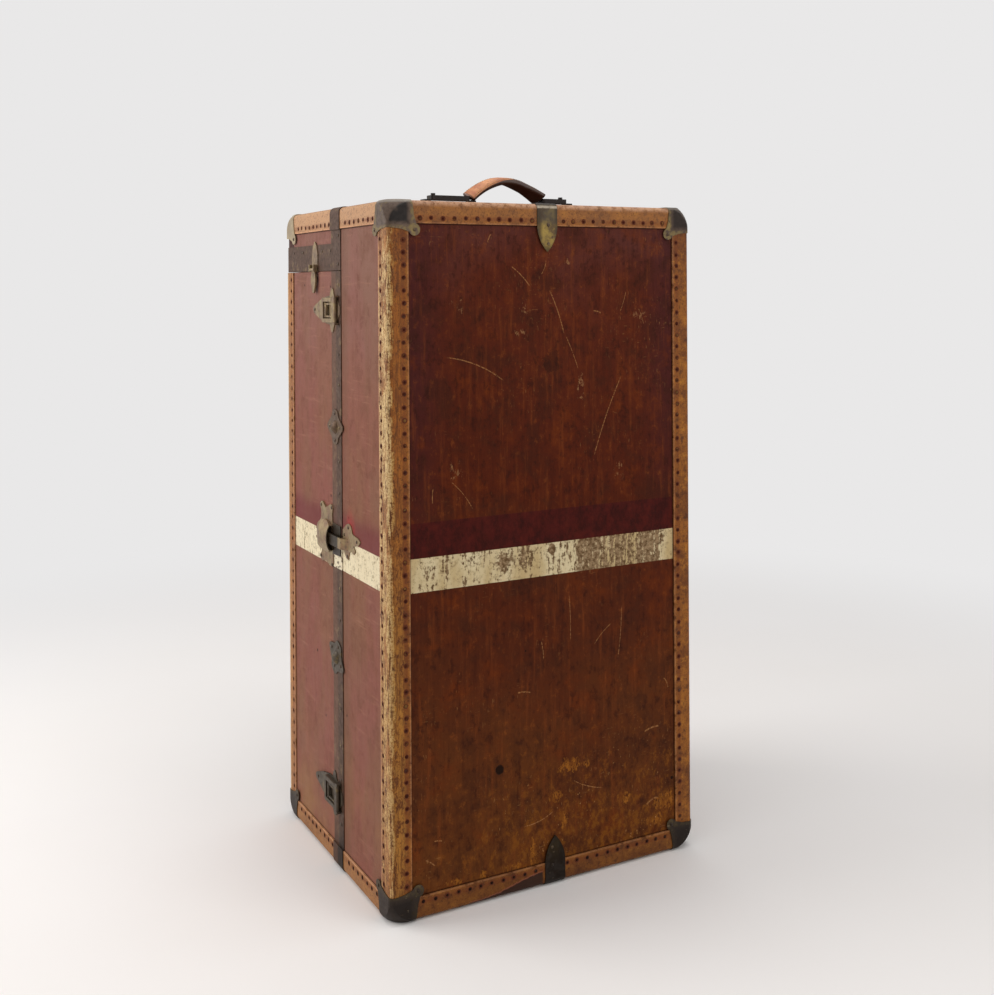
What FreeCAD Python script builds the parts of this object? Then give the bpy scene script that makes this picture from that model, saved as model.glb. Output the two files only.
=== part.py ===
"""Wardrobe trunk: a tall case that stands on end and opens like a book.

The shallow front half holds drawers and swings on three hinges at the right.
The deep rear half holds a clothes carriage and has a lift-up lid.
Frame: +Z up, -Y towards the broad front face, origin under the middle of the closed trunk.
Units are millimetres.
"""
import FreeCAD, Part
import os
import Sketcher

os.makedirs("parts", exist_ok=True)
doc = FreeCAD.newDocument("wardrobe_trunk")
sheet = doc.addObject("Spreadsheet::Sheet", "sizes")
Vector = FreeCAD.Vector


# ---------------------------------------------------------------- sizes that keep their formula
def split(item):
    """Value and formula of a size or of a plain number."""
    if isinstance(item, Size):
        return item.value, item.text
    return float(item), "(" + repr(float(item)) + ")"


class Size:
    """A number that keeps its formula, so that a property can be bound to the sheet."""

    def __init__(self, value, text):
        self.value = float(value)
        self.text = text

    def __float__(self):
        return self.value

    def __add__(self, other):
        value, text = split(other)
        return Size(self.value + value, "(" + self.text + " + " + text + ")")

    __radd__ = __add__

    def __sub__(self, other):
        value, text = split(other)
        return Size(self.value - value, "(" + self.text + " - " + text + ")")

    def __rsub__(self, other):
        value, text = split(other)
        return Size(value - self.value, "(" + text + " - " + self.text + ")")

    def __mul__(self, other):
        value, text = split(other)
        return Size(self.value * value, "(" + self.text + " * " + text + ")")

    __rmul__ = __mul__

    def __truediv__(self, other):
        value, text = split(other)
        return Size(self.value / value, "(" + self.text + " / " + text + ")")

    def __neg__(self):
        return self * -1


def size(name, value):
    """Write one driving dimension into the sheet."""
    size.row += 1
    cell = "B" + str(size.row)
    sheet.set("A" + str(size.row), name)
    sheet.set(cell, str(value))
    sheet.setAlias(cell, name)
    return Size(value, "sizes." + name)


size.row = 0

# Case, measured over the edge trim
trunk_width = size("trunk_width", 574)
trunk_depth = size("trunk_depth", 480)
trunk_height = size("trunk_height", 1120)
front_half_depth = size("front_half_depth", 201)
seam_gap = size("seam_gap", 1.5)
lid_depth = size("lid_depth", 108)
fit = size("fit", 0.1)
ply_thick = size("ply_thick", 9)
cover_thick = size("cover_thick", 1.2)
lining_thick = size("lining_thick", 1)
trim_thick = size("trim_thick", 2.4)
trim_width = size("trim_width", 36)
metal_thick = size("metal_thick", 1.3)
edge_round = size("edge_round", 9)
corner_reach = size("corner_reach", 42)
corner_flare = size("corner_flare", 8)
ear_radius = size("ear_radius", 9.5)
corner_ball = size("corner_ball", 37)
binding_width = size("binding_width", 44)
band_height = size("band_height", 46)
valance_thick = size("valance_thick", 2)
valance_reach = size("valance_reach", 8)
valance_depth = size("valance_depth", 16)
valance_clear = size("valance_clear", 0.3)
# Clips over the front edges
clip_width = size("clip_width", 38)
top_clip_shift = size("top_clip_shift", -2)
bottom_clip_shift = size("bottom_clip_shift", 6)
clip_tongue = size("clip_tongue", 79)
clip_fold = size("clip_fold", 32)
# Hinges
knuckle_radius = size("knuckle_radius", 5)
pin_radius = size("pin_radius", 2.5)
pin_clear = size("pin_clear", 0.05)
running_clear = size("running_clear", 0.3)
hinge_height = size("hinge_height", 80)
leaf_width = size("leaf_width", 40)
leaf_thick = size("leaf_thick", 2)
hinge_foot = size("hinge_foot", 150)
hinge_head = size("hinge_head", 112)
lid_hinge_spread = size("lid_hinge_spread", 170)
# Side hardware
plate_thick = size("plate_thick", 1.6)
latch_length = size("latch_length", 132)
latch_height = size("latch_height", 76)
latch_pivot = size("latch_pivot", 14)
latch_lever_length = size("latch_lever_length", 58)
latch_lever_height = size("latch_lever_height", 43)
latch_lever_thick = size("latch_lever_thick", 6)
latch_pin_radius = size("latch_pin_radius", 2)
latch_wall = size("latch_wall", 7)
upper_latch_drop = size("upper_latch_drop", 67)
lower_latch_height = size("lower_latch_height", 122)
upper_seam_plate_drop = size("upper_seam_plate_drop", 265)
lower_seam_plate_height = size("lower_seam_plate_height", 356)
seam_plate_length = size("seam_plate_length", 66)
seam_plate_width = size("seam_plate_width", 60)
seam_plate_lap = size("seam_plate_lap", 6)
dome_radius = size("dome_radius", 12)
dome_rise = size("dome_rise", 7)
lock_drop = size("lock_drop", 4)
lock_rise = size("lock_rise", 14)
lock_length = size("lock_length", 104)
lock_mouth = size("lock_mouth", 40)
lock_plate_height = size("lock_plate_height", 112)
lock_lever_width = size("lock_lever_width", 56)
lock_lever_wall = size("lock_lever_wall", 1.8)
lock_dome_radius = size("lock_dome_radius", 44)
lock_pin_radius = size("lock_pin_radius", 1.2)
strike_length = size("strike_length", 81)
strike_width = size("strike_width", 60)
hook_width = size("hook_width", 18)
hook_lap = size("hook_lap", 13)
hook_thick = size("hook_thick", 3)
clasp_offset = size("clasp_offset", 122)
clasp_width = size("clasp_width", 28)
clasp_height = size("clasp_height", 50)
clasp_tongue = size("clasp_tongue", 38)
clasp_pin_radius = size("clasp_pin_radius", 1.5)
# Handle
grip_length = size("grip_length", 147)
grip_width = size("grip_width", 26)
grip_rise = size("grip_rise", 59)
grip_under = size("grip_under", 44)
grip_end = size("grip_end", 30)
grip_low = size("grip_low", 18)
grip_foot = size("grip_foot", 22)
bar_left = size("bar_left", 75)
bar_right = size("bar_right", 50)
bar_width = size("bar_width", 22)
bar_thick = size("bar_thick", 8)
bar_lift = size("bar_lift", 17)
bar_foot = size("bar_foot", 12)
handle_setback = size("handle_setback", 23)
handle_shift = size("handle_shift", 16)
# Drawers
shelf_drop = size("shelf_drop", 160)
shelf_thick = size("shelf_thick", 8)
drawer_gap = size("drawer_gap", 4)
drawer_side_gap = size("drawer_side_gap", 8.1)
drawer_depth = size("drawer_depth", 152)
drawer_setback = size("drawer_setback", 6)
drawer_wall = size("drawer_wall", 8)
drawer_floor = size("drawer_floor", 4)
drawer_front_thick = size("drawer_front_thick", 10)
runner_height = size("runner_height", 10)
groove_depth = size("groove_depth", 5)
knob_radius = size("knob_radius", 9)
knob_reach = size("knob_reach", 14)
# Clothes carriage
rail_drop = size("rail_drop", 27)
rail_radius = size("rail_radius", 6)
channel_height = size("channel_height", 26)
channel_depth = size("channel_depth", 11)
channel_wall = size("channel_wall", 2)
carriage_length = size("carriage_length", 96)
carriage_bar = size("carriage_bar", 6)
carriage_bar_height = size("carriage_bar_height", 16)
hanger_count = 4
hanger_pitch = size("hanger_pitch", 21)
hanger_thick = size("hanger_thick", 11)
hanger_width = size("hanger_width", 430)
hanger_fall = size("hanger_fall", 52)
hanger_depth = size("hanger_depth", 24)
hook_wire = size("hook_wire", 2)
hook_clear = size("hook_clear", 0.4)

# Offsets of the layers from the outside of the trim, outwards
cap_out = metal_thick + fit
trim_out = fit * 0
under_trim = -trim_thick
cover_out = -trim_thick - fit
binding_out = under_trim + metal_thick
under_cover = cover_out - cover_thick
ply_out = under_cover - fit
ply_in = ply_out - ply_thick
lining_out = ply_in - fit
lining_in = lining_out - lining_thick

# Hardware that stands out at the sides and at the back decides where the middle is
reach_left = lock_rise + fit - under_trim * -1 + metal_thick
hinge_axis_out = binding_out + running_clear + knuckle_radius
reach_hinge = hinge_axis_out + knuckle_radius

# Main planes of the case, at the outside of the trim
left = -trunk_width / 2 + (reach_left - reach_hinge) / 2
right = left + trunk_width
front = -trunk_depth / 2 - (reach_hinge - cap_out) / 2
rear = front + trunk_depth
bottom = cap_out
top = trunk_height - cap_out
seam = front + front_half_depth
seam_front = seam - seam_gap / 2
seam_rear = seam + seam_gap / 2
lid_seam = trunk_height - lid_depth
lid_rim = lid_seam + seam_gap / 3
case_rim = lid_seam - seam_gap / 3
middle = (left + right) / 2
hinge_low = bottom + hinge_foot
hinge_high = lid_seam - hinge_head
hinge_mid = (hinge_low + hinge_high) / 2
upper_latch_height = lid_seam - upper_latch_drop
upper_seam_plate_height = lid_seam - upper_seam_plate_drop
lock_height = trunk_height / 2 - lock_drop
shelf_height = lid_seam - shelf_drop
rail_height = lid_seam - rail_drop
hardware_face = left - binding_out - fit
beyond = trim_width + binding_width


# ---------------------------------------------------------------- building helpers
def bind(item, prop, value):
    """Bind a property to its formula in the sheet."""
    value, text = split(value)
    item.setExpression(prop, text)


def place(item, x, y, z):
    """Bind the position of an object."""
    for axis, value in (("x", x), ("y", y), ("z", z)):
        bind(item, "Placement.Base." + axis, value)
    return item


def box(name, x, y, z):
    """Block between two planes along each axis."""
    piece = doc.addObject("Part::Box", name)
    for prop, span in (("Length", x), ("Width", y), ("Height", z)):
        bind(piece, prop, span[1] - span[0])
    return place(piece, x[0], y[0], z[0])


TURN = {
    "z": FreeCAD.Rotation(),
    "x": FreeCAD.Rotation(Vector(0, 1, 0), 90),
    "y": FreeCAD.Rotation(Vector(1, 0, 0), -90),
}


def rod(name, radius, start, length, axis):
    """Round bar that runs from a point along +X, +Y or +Z."""
    piece = doc.addObject("Part::Cylinder", name)
    bind(piece, "Radius", radius)
    bind(piece, "Height", length)
    piece.Placement = FreeCAD.Placement(Vector(), TURN[axis])
    return place(piece, *start)


def cut(name, base, tool):
    """One shape less another."""
    piece = doc.addObject("Part::Cut", name)
    piece.Base = base
    piece.Tool = tool
    return piece


def common(name, base, tool):
    """What two shapes share."""
    piece = doc.addObject("Part::Common", name)
    piece.Base = base
    piece.Tool = tool
    return piece


def fuse(name, shapes):
    """Several shapes made one solid."""
    piece = doc.addObject("Part::MultiFuse", name)
    piece.Shapes = shapes
    return piece


def group(name, shapes):
    """Several separate solids kept as one sub-part."""
    piece = doc.addObject("Part::Compound", name)
    piece.Links = shapes
    return piece


def sketch(body, plane, points):
    """Closed outline through (across, up) points; a third value bows the next side outwards."""
    outline = body.newObject("Sketcher::SketchObject", body.Name + "_outline")
    origin_plane = [item for item in body.Origin.OriginFeatures if item.Role == plane][0]
    outline.AttachmentSupport = [(origin_plane, "")]
    outline.MapMode = "FlatFace"
    corners = [Vector(float(point[0]), float(point[1]), 0) for point in points]
    turning = sum(corners[index - 1].cross(corners[index]).z for index in range(len(points)))
    side = 1 if turning > 0 else -1
    for index, point in enumerate(points):
        start = corners[index]
        end = corners[(index + 1) % len(points)]
        if len(point) == 3:
            chord = end - start
            outward = Vector(chord.y, -chord.x, 0).normalize() * float(point[2]) * side
            outline.addGeometry(Part.Arc(start, (start + end) / 2 + outward, end))
        else:
            outline.addGeometry(Part.LineSegment(start, end))
    ends = []
    for index in range(len(points)):
        swapped = (outline.getPoint(index, 1) - corners[index]).Length > 1e-6
        ends.append((2, 1) if swapped else (1, 2))
    for index, point in enumerate(points):
        following = (index + 1) % len(points)
        outline.addConstraint(Sketcher.Constraint(
            "Coincident", index, ends[index][1], following, ends[following][0]))
        for kind, value in (("DistanceX", point[0]), ("DistanceY", point[1])):
            number = outline.addConstraint(Sketcher.Constraint(
                kind, -1, 1, index, ends[index][0], float(value)))
            bind(outline, "Constraints[" + str(number) + "]", value)
        if len(point) == 3:
            across = points[following][0] - point[0]
            along = points[following][1] - point[1]
            bow = point[2] if float(point[2]) > 0 else point[2] * -1
            radius = ((across * across + along * along) / 4 + bow * bow) / (2 * bow)
            number = outline.addConstraint(Sketcher.Constraint("Radius", index, float(radius)))
            bind(outline, "Constraints[" + str(number) + "]", radius)
    return outline


def slab(name, plane, points, thick, reverse=False, middle_plane=False):
    """Body padded from an outline on one of its own origin planes."""
    body = doc.addObject("PartDesign::Body", name)
    outline = sketch(body, plane, points)
    pad = body.newObject("PartDesign::Pad", name + "_pad")
    pad.Profile = outline
    bind(pad, "Length", thick)
    pad.Reversed = reverse
    pad.Midplane = middle_plane
    return body


def round_edges(body, radius, wanted):
    """Fillet the edges of a body's tip that a test picks."""
    doc.recompute()
    feature = body.Tip
    names = []
    for number, edge in enumerate(feature.Shape.Edges, 1):
        if wanted(edge):
            names.append("Edge" + str(number))
    fillet = body.newObject("PartDesign::Fillet", body.Name + "_fillet" + str(len(body.Group)))
    fillet.Base = (feature, names)
    bind(fillet, "Radius", radius)
    return body


def ring(points):
    """Outline of points given for its upper half, mirrored below the line up = 0."""
    lower = []
    for index in range(len(points) - 1, -1, -1):
        across, up = points[index][0], points[index][1]
        if index > 0 and len(points[index - 1]) == 3:
            lower.append((across, up * -1, points[index - 1][2]))
        else:
            lower.append((across, up * -1))
    return points + lower


# ---------------------------------------------------------------- nested layers of the case
def front_block(name, out):
    """Front half grown by an offset, round on every edge but those at the seam."""
    corners = [(left - out, bottom - out), (right + out, bottom - out),
               (right + out, top + out), (left - out, top + out)]
    body = slab(name, "XZ_Plane", corners, seam_front - front + out)
    place(body, 0, seam_front, 0)
    return round_edges(body, edge_round + out, lambda edge: edge.CenterOfMass.y < -0.001)


def rear_block(name, out):
    """Rear half grown by an offset, round on every edge but those at the seam."""
    corners = [(left - out, bottom - out), (right + out, bottom - out),
               (right + out, top + out), (left - out, top + out)]
    body = slab(name, "XZ_Plane", corners, rear - seam_rear + out, reverse=True)
    place(body, 0, seam_rear, 0)
    return round_edges(body, edge_round + out, lambda edge: edge.CenterOfMass.y > 0.001)


def ball_corners(name, block, out, y, direction):
    """Cut the four outer corners of a block back to balls that run into its edge rounds."""
    crest = edge_round * (1 - 0.5 ** 0.5)
    radius = (corner_ball - crest) * 2 ** 0.5 + out + fit / 2
    tools = []
    for side, x, turn_x in (("left", left, 1), ("right", right, -1)):
        for end, z, turn_z in (("bottom", bottom, 1), ("top", top, -1)):
            mark = name + side + end
            spans = []
            for place_, turn in ((x, turn_x), (y, direction), (z, turn_z)):
                outer = place_ - beyond * turn
                inner = place_ + corner_ball * turn
                spans.append((outer, inner) if turn > 0 else (inner, outer))
            ball = doc.addObject("Part::Sphere", mark + "_ball")
            bind(ball, "Radius", radius)
            place(ball, x + corner_ball * turn_x, y + corner_ball * direction,
                  z + corner_ball * turn_z)
            tools.append(cut(mark + "_waste", box(mark + "_cube", *spans), ball))
    return cut(name + "_balled", block, group(name + "_wastes", tools))


LEVELS = {"cap": cap_out, "under_cap": fit, "trim": trim_out, "under_trim": under_trim,
          "cover": cover_out, "under_cover": under_cover, "ply": ply_out, "binding": binding_out}
BALLED = ("cap", "under_cap", "cover", "under_cover", "ply")
front_layer = {}
rear_layer = {}
for level, offset in LEVELS.items():
    front_name = "front_block_" + level
    rear_name = "rear_block_" + level
    rear_layer[level] = rear_block(rear_name, offset)
    if level != "binding":
        front_layer[level] = front_block(front_name, offset)
    if level in BALLED:
        front_layer[level] = ball_corners(front_name, front_layer[level], offset, front, 1)
        rear_layer[level] = ball_corners(rear_name, rear_layer[level], offset, rear, -1)


def hollow(name, out, y):
    """Block that fills the inside of the case up to an offset."""
    return box(name, (left - out, right + out), y, (bottom - out, top + out))


# Zones that share the rear half between the lower case and its lid
everywhere_x = (left - beyond, right + beyond)
everywhere_y = (front - beyond, rear + beyond)
case_zone = box("case_zone", everywhere_x, everywhere_y, (bottom - beyond, case_rim))
lid_zone = box("lid_zone", everywhere_x, everywhere_y, (lid_rim, top + beyond))

# Plywood shells: five sides each, open at the seam
front_inside = hollow("front_inside", ply_in, (front - ply_in, seam + beyond))
rear_inside = hollow("rear_inside", ply_in, (seam - beyond, rear + ply_in))
front_shell = cut("front_shell", front_layer["ply"], front_inside)
rear_ply = cut("rear_ply", rear_layer["ply"], rear_inside)
rear_shell = common("rear_shell", rear_ply, case_zone)
lid_shell = common("lid_shell", rear_ply, lid_zone)

# Painted canvas covering over the plywood
front_cover = cut("front_cover", front_layer["cover"], front_layer["under_cover"])
rear_skin = cut("rear_skin", rear_layer["cover"], rear_layer["under_cover"])
rear_cover = common("rear_cover", rear_skin, case_zone)
lid_cover = common("lid_cover", rear_skin, lid_zone)

# Paper and cloth lining, which stops short of the seam to clear the valance
lining_front_end = seam_front - valance_depth - fit
lining_rear_start = seam_rear + valance_reach + 2 * running_clear
front_lining = cut(
    "front_lining",
    hollow("front_lining_outer", lining_out, (front - lining_out, lining_front_end)),
    hollow("front_lining_inner", lining_in, (front - lining_in, seam + beyond)))
rear_paper = cut(
    "rear_paper",
    hollow("rear_lining_outer", lining_out, (lining_rear_start, rear + lining_out)),
    hollow("rear_lining_inner", lining_in, (seam - beyond, rear + lining_in)))
rear_lining = common("rear_lining", rear_paper, case_zone)
lid_lining = common("lid_lining", rear_paper, lid_zone)

# Steel valance inside the front rim, which enters the rear half and shuts the seam
valance_out = ply_in - valance_clear
front_valance = cut(
    "front_valance",
    hollow("valance_outer", valance_out, (seam_front - valance_depth, seam_rear + valance_reach)),
    hollow("valance_inner", valance_out - valance_thick, (front, rear)))

# ---------------------------------------------------------------- fibre trim along the edges
trim_end = trim_width + 2
front_trim_shell = cut("front_trim_shell", front_layer["trim"], front_layer["under_trim"])
rear_trim_shell = cut("rear_trim_shell", rear_layer["trim"], rear_layer["under_trim"])

side_spans = {"left": (left - beyond, left + trim_width), "right": (right - trim_width, right + beyond)}
end_spans = {"bottom": (bottom - beyond, bottom + trim_width), "top": (top - trim_width, top + beyond)}
front_span = (front - beyond, front + trim_width)
rear_span = (rear - trim_width, rear + beyond)
between_x = (left + trim_end, right - trim_end)
between_z = (bottom + trim_end, top - trim_end)


def trim_strip(name, shell, x, y, z):
    """Angle strip of fibre: the part of a trim shell that lies near one edge."""
    return common(name, shell, box(name + "_zone", x, y, z))


front_strips = []
rear_strips = []
lid_strips = []
for side, side_span in side_spans.items():
    front_strips.append(trim_strip(
        "front_upright_" + side, front_trim_shell, side_span, front_span, between_z))
    rear_strips.append(trim_strip(
        "rear_upright_" + side, rear_trim_shell, side_span, rear_span,
        (bottom + trim_end, case_rim)))
    for end, end_span in end_spans.items():
        front_strips.append(trim_strip(
            "front_edge_" + side + end, front_trim_shell, side_span,
            (front + trim_end, seam + beyond), end_span))
        strips = rear_strips if end == "bottom" else lid_strips
        strips.append(trim_strip(
            "rear_edge_" + side + end, rear_trim_shell, side_span,
            (seam - beyond, rear - trim_end), end_span))
for end, end_span in end_spans.items():
    front_strips.append(trim_strip(
        "front_rail_" + end, front_trim_shell, between_x, front_span, end_span))
    strips = rear_strips if end == "bottom" else lid_strips
    strips.append(trim_strip(
        "rear_rail_" + end, rear_trim_shell, between_x, rear_span, end_span))
front_trim = group("front_trim", front_strips)
rear_trim = group("rear_trim", rear_strips)
lid_trim = group("lid_trim", lid_strips)

# ---------------------------------------------------------------- metal corner caps
front_cap_shell = cut("front_cap_shell", front_layer["cap"], front_layer["under_cap"])
rear_cap_shell = cut("rear_cap_shell", rear_layer["cap"], rear_layer["under_cap"])


def inward(corner, direction, distance):
    """Plane at a distance from a corner, towards the middle of the case."""
    return corner + direction * distance


def corner_cap(name, shell, x, y, z):
    """Pressed cap over a corner: on each of its three faces it flares into a round nailing ear."""
    corner = (x, y, z)
    ear = corner_reach + corner_flare / 2
    planes = ("YZ_Plane", "XZ_Plane", "XY_Plane")
    pieces = []
    for number, axis in enumerate("xyz"):
        first, second = [corner[other] for other in range(3) if other != number]
        outline = []
        for along, away in ((-5, -5), (corner_reach, -5), (corner_reach + 3, ear / 2),
                            (ear + ear_radius / 2, ear - ear_radius / 2),
                            (ear - ear_radius / 2, ear + ear_radius / 2),
                            (ear / 2, corner_reach + 3), (-5, corner_reach)):
            outline.append((along * first[1], away * second[1]))
        place_, direction = corner[number]
        lid = slab(name + "_face_" + axis, planes[number], outline, beyond + edge_round)
        start = [first[0], second[0]]
        low = place_ - beyond if direction > 0 else place_ - edge_round
        start.insert(number, low + beyond + edge_round if axis == "y" else low)
        place(lid, *start)
        centre = [inward(spot, turn, ear) for spot, turn in (first, second)]
        centre.insert(number, low)
        pieces += [lid, rod(name + "_ear_" + axis, ear_radius, centre, beyond + edge_round, axis)]
    return common(name, shell, fuse(name + "_zone", pieces))


front_caps = []
rear_caps = []
lid_caps = []
for side, x in (("left", (left, 1)), ("right", (right, -1))):
    front_caps.append(corner_cap("front_cap_bottom_" + side, front_cap_shell,
                                 x, (front, 1), (bottom, 1)))
    front_caps.append(corner_cap("front_cap_top_" + side, front_cap_shell,
                                 x, (front, 1), (top, -1)))
    rear_caps.append(corner_cap("rear_cap_bottom_" + side, rear_cap_shell,
                                x, (rear, -1), (bottom, 1)))
    lid_caps.append(corner_cap("lid_cap_top_" + side, rear_cap_shell,
                               x, (rear, -1), (top, -1)))
front_corner_caps = group("front_corner_caps", front_caps)
rear_corner_caps = group("rear_corner_caps", rear_caps)
lid_corner_caps = group("lid_corner_caps", lid_caps)


# ---------------------------------------------------------------- clips over the front edges
def edge_clip(name, edge, direction, shift):
    """Folded strap over the middle of a front edge, with a pointed tongue down the face."""
    half = clip_width / 2
    centre = middle + shift
    tip = edge + clip_tongue * direction
    shoulder = edge + clip_tongue / 2 * direction
    outer = edge - beyond * direction
    points = [(centre - half, outer), (centre - half, shoulder, half / 5), (centre, tip, half / 5),
              (centre + half, shoulder), (centre + half, outer)]
    tongue = slab(name + "_tongue", "XZ_Plane", points, beyond, reverse=False)
    place(tongue, 0, front + edge_round, 0)
    fold_span = (outer, edge + edge_round * direction)
    if direction < 0:
        fold_span = (fold_span[1], fold_span[0])
    fold = box(name + "_fold", (centre - half, centre + half),
               (front - beyond, front + clip_fold), fold_span)
    return common(name, front_cap_shell, fuse(name + "_zone", [tongue, fold]))


top_clip = edge_clip("top_clip", top, -1, top_clip_shift)
bottom_clip = edge_clip("bottom_clip", bottom, 1, bottom_clip_shift)

# ---------------------------------------------------------------- metal binding at the seam
step_width = trim_width + fit + metal_thick
binding_zone_y = (seam_rear, seam + binding_width)
binding_ring = cut("binding_ring", rear_layer["binding"], rear_layer["under_trim"])
binding_step = cut("binding_step", rear_layer["cap"], rear_layer["under_trim"])
step_zones = []
trim_zones = []
for side in ("left", "right"):
    for end in ("bottom", "top"):
        x = (left - beyond, left + step_width) if side == "left" else (
            right - step_width, right + beyond)
        z = (bottom - beyond, bottom + step_width) if end == "bottom" else (
            top - step_width, top + beyond)
        step_zones.append(box("step_zone_" + side + end, x, binding_zone_y, z))
        x = (left - beyond, left + trim_width + fit) if side == "left" else (
            right - trim_width - fit, right + beyond)
        z = (bottom - beyond, bottom + trim_width + fit) if end == "bottom" else (
            top - trim_width - fit, top + beyond)
        trim_zones.append(box("trim_zone_" + side + end, x, binding_zone_y, z))
binding_steps = common("binding_steps", binding_step, group("step_zones", step_zones))
binding_flat = common("binding_flat", binding_ring,
                      box("binding_zone", everywhere_x, binding_zone_y,
                          (bottom - beyond, top + beyond)))
under_steps = common("under_steps", rear_layer["under_cap"], group("trim_zones", trim_zones))
binding_all = cut("binding_all", fuse("binding_fused", [binding_flat, binding_steps]), under_steps)
rear_binding = common("rear_binding", binding_all, case_zone)
lid_binding = common("lid_binding", binding_all, lid_zone)

# Metal band round the lower edge of the lid, from the binding to the rear face
band_ring = cut("band_ring", rear_layer["binding"], rear_layer["under_trim"])
lid_band = common("lid_band", band_ring, box(
    "band_zone", everywhere_x, (seam + binding_width + fit, rear + beyond),
    (lid_rim, lid_rim + band_height)))


# ---------------------------------------------------------------- hinges
def hinge_leaf(name, side, level, knuckles):
    """Leaf in the hinge's own frame: pin along Z at the origin, case surface at x = level."""
    segment = hinge_height / 5
    knuckle_end = knuckle_radius + running_clear * 4
    near = knuckle_end * side
    far = leaf_width * side
    span = (near, far) if side > 0 else (far, near)
    pieces = [box(name + "_plate", (level, level + leaf_thick), span, (0, hinge_height))]
    for number in knuckles:
        low = segment * number + running_clear / 2
        high = segment * (number + 1) - running_clear / 2
        root = (running_clear * side, near) if side > 0 else (near, running_clear * side)
        pieces.append(box(name + "_root" + str(number), (level, fit * 0), root, (low, high)))
        pieces.append(rod(name + "_knuckle" + str(number), knuckle_radius, (0, 0, low),
                          high - low, "z"))
    bore = rod(name + "_bore", pin_radius + pin_clear, (0, 0, -1 * fit),
               hinge_height + 2 * fit, "z")
    return cut(name, fuse(name + "_solid", pieces), bore)


def hinge_pin(name):
    """Pin with a button head at each end."""
    head = pin_radius * 1.6
    return fuse(name, [
        rod(name + "_shank", pin_radius, (0, 0, -1 * fit), hinge_height + 2 * fit, "z"),
        rod(name + "_foot", head, (0, 0, -1 * fit - leaf_thick), leaf_thick, "z"),
        rod(name + "_head", head, (0, 0, hinge_height + fit), leaf_thick, "z")])


def copy_of(name, source, x, y, z, rotation=FreeCAD.Rotation()):
    """Placed copy of a piece that is built at its own origin."""
    piece = doc.addObject("Part::Compound", name)
    piece.Links = [source]
    piece.Placement = FreeCAD.Placement(Vector(), rotation)
    return place(piece, x, y, z)


level_cover = under_trim - hinge_axis_out
level_binding = binding_out + fit - hinge_axis_out
front_leaf = hinge_leaf("front_leaf", -1, level_cover, (1, 3))
rear_leaf = hinge_leaf("rear_leaf", 1, level_binding, (0, 2, 4))
lid_leaf = hinge_leaf("lid_leaf", -1, level_binding, (1, 3))
case_leaf = hinge_leaf("case_leaf", 1, level_cover, (0, 2, 4))
pin = hinge_pin("pin")

hinge_x = right + hinge_axis_out
lid_hinge_y = rear + hinge_axis_out
# The lid's pin lies along -X: its own x points to the rear and its own y points down
LID_TURN = FreeCAD.Rotation(Vector(0, 1, 0), Vector(0, 0, -1), Vector(-1, 0, 0), "ZXY")
front_leaves = []
rear_leaves = []
pins = []
for number, height in enumerate((hinge_low, hinge_mid, hinge_high)):
    mark = str(number)
    front_leaves.append(copy_of("front_leaf_" + mark, front_leaf, hinge_x, seam, height))
    rear_leaves.append(copy_of("rear_leaf_" + mark, rear_leaf, hinge_x, seam, height))
    pins.append(copy_of("pin_" + mark, pin, hinge_x, seam, height))
case_leaves = []
lid_leaves = []
for number, shift in enumerate((-1, 1)):
    x = middle + lid_hinge_spread * shift + hinge_height / 2
    mark = str(number)
    lid_leaves.append(copy_of("lid_leaf_" + mark, lid_leaf, x, lid_hinge_y, lid_seam, LID_TURN))
    case_leaves.append(copy_of("case_leaf_" + mark, case_leaf, x, lid_hinge_y, lid_seam, LID_TURN))
    pins.append(copy_of("lid_pin_" + mark, pin, x, lid_hinge_y, lid_seam, LID_TURN))
front_hinge_leaves = group("front_hinge_leaves", front_leaves)
rear_hinge_leaves = group("rear_hinge_leaves", rear_leaves)
lid_hinge_leaves = group("lid_hinge_leaves", lid_leaves)
case_hinge_leaves = group("case_hinge_leaves", case_leaves)
hinge_pins = group("hinge_pins", pins)


# ---------------------------------------------------------------- plates on the lock side
def side_plate(name, points, height, along=0, turn=0):
    """Cast plate on the lock side: flat on the binding, thicker where it meets the cover."""
    thick = plate_thick + metal_thick + fit
    body = slab(name + "_cast", "YZ_Plane", points, thick, reverse=True)
    body.Placement = FreeCAD.Placement(Vector(), FreeCAD.Rotation(Vector(1, 0, 0), turn))
    place(body, left - under_trim, seam + along, height)
    step = box(name + "_step", (hardware_face, left - under_trim + 1),
               (seam - beyond, seam + binding_width + fit), (height - beyond, height + beyond))
    return cut(name + "_plate", body, step)


# Draw latches: base with two ears, a lever that swings out, and a roller bail inside it
latch_axis_y = seam + latch_pivot
latch_axis_x = hardware_face - plate_thick - latch_lever_thick / 2 - 2 * running_clear
bail_axis_y = latch_axis_y + 15
barrel_radius = latch_lever_thick / 2 + running_clear
bail_half = latch_lever_height / 2 - latch_wall - 2
roller_y = latch_axis_y + latch_lever_length - latch_wall - 9


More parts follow.
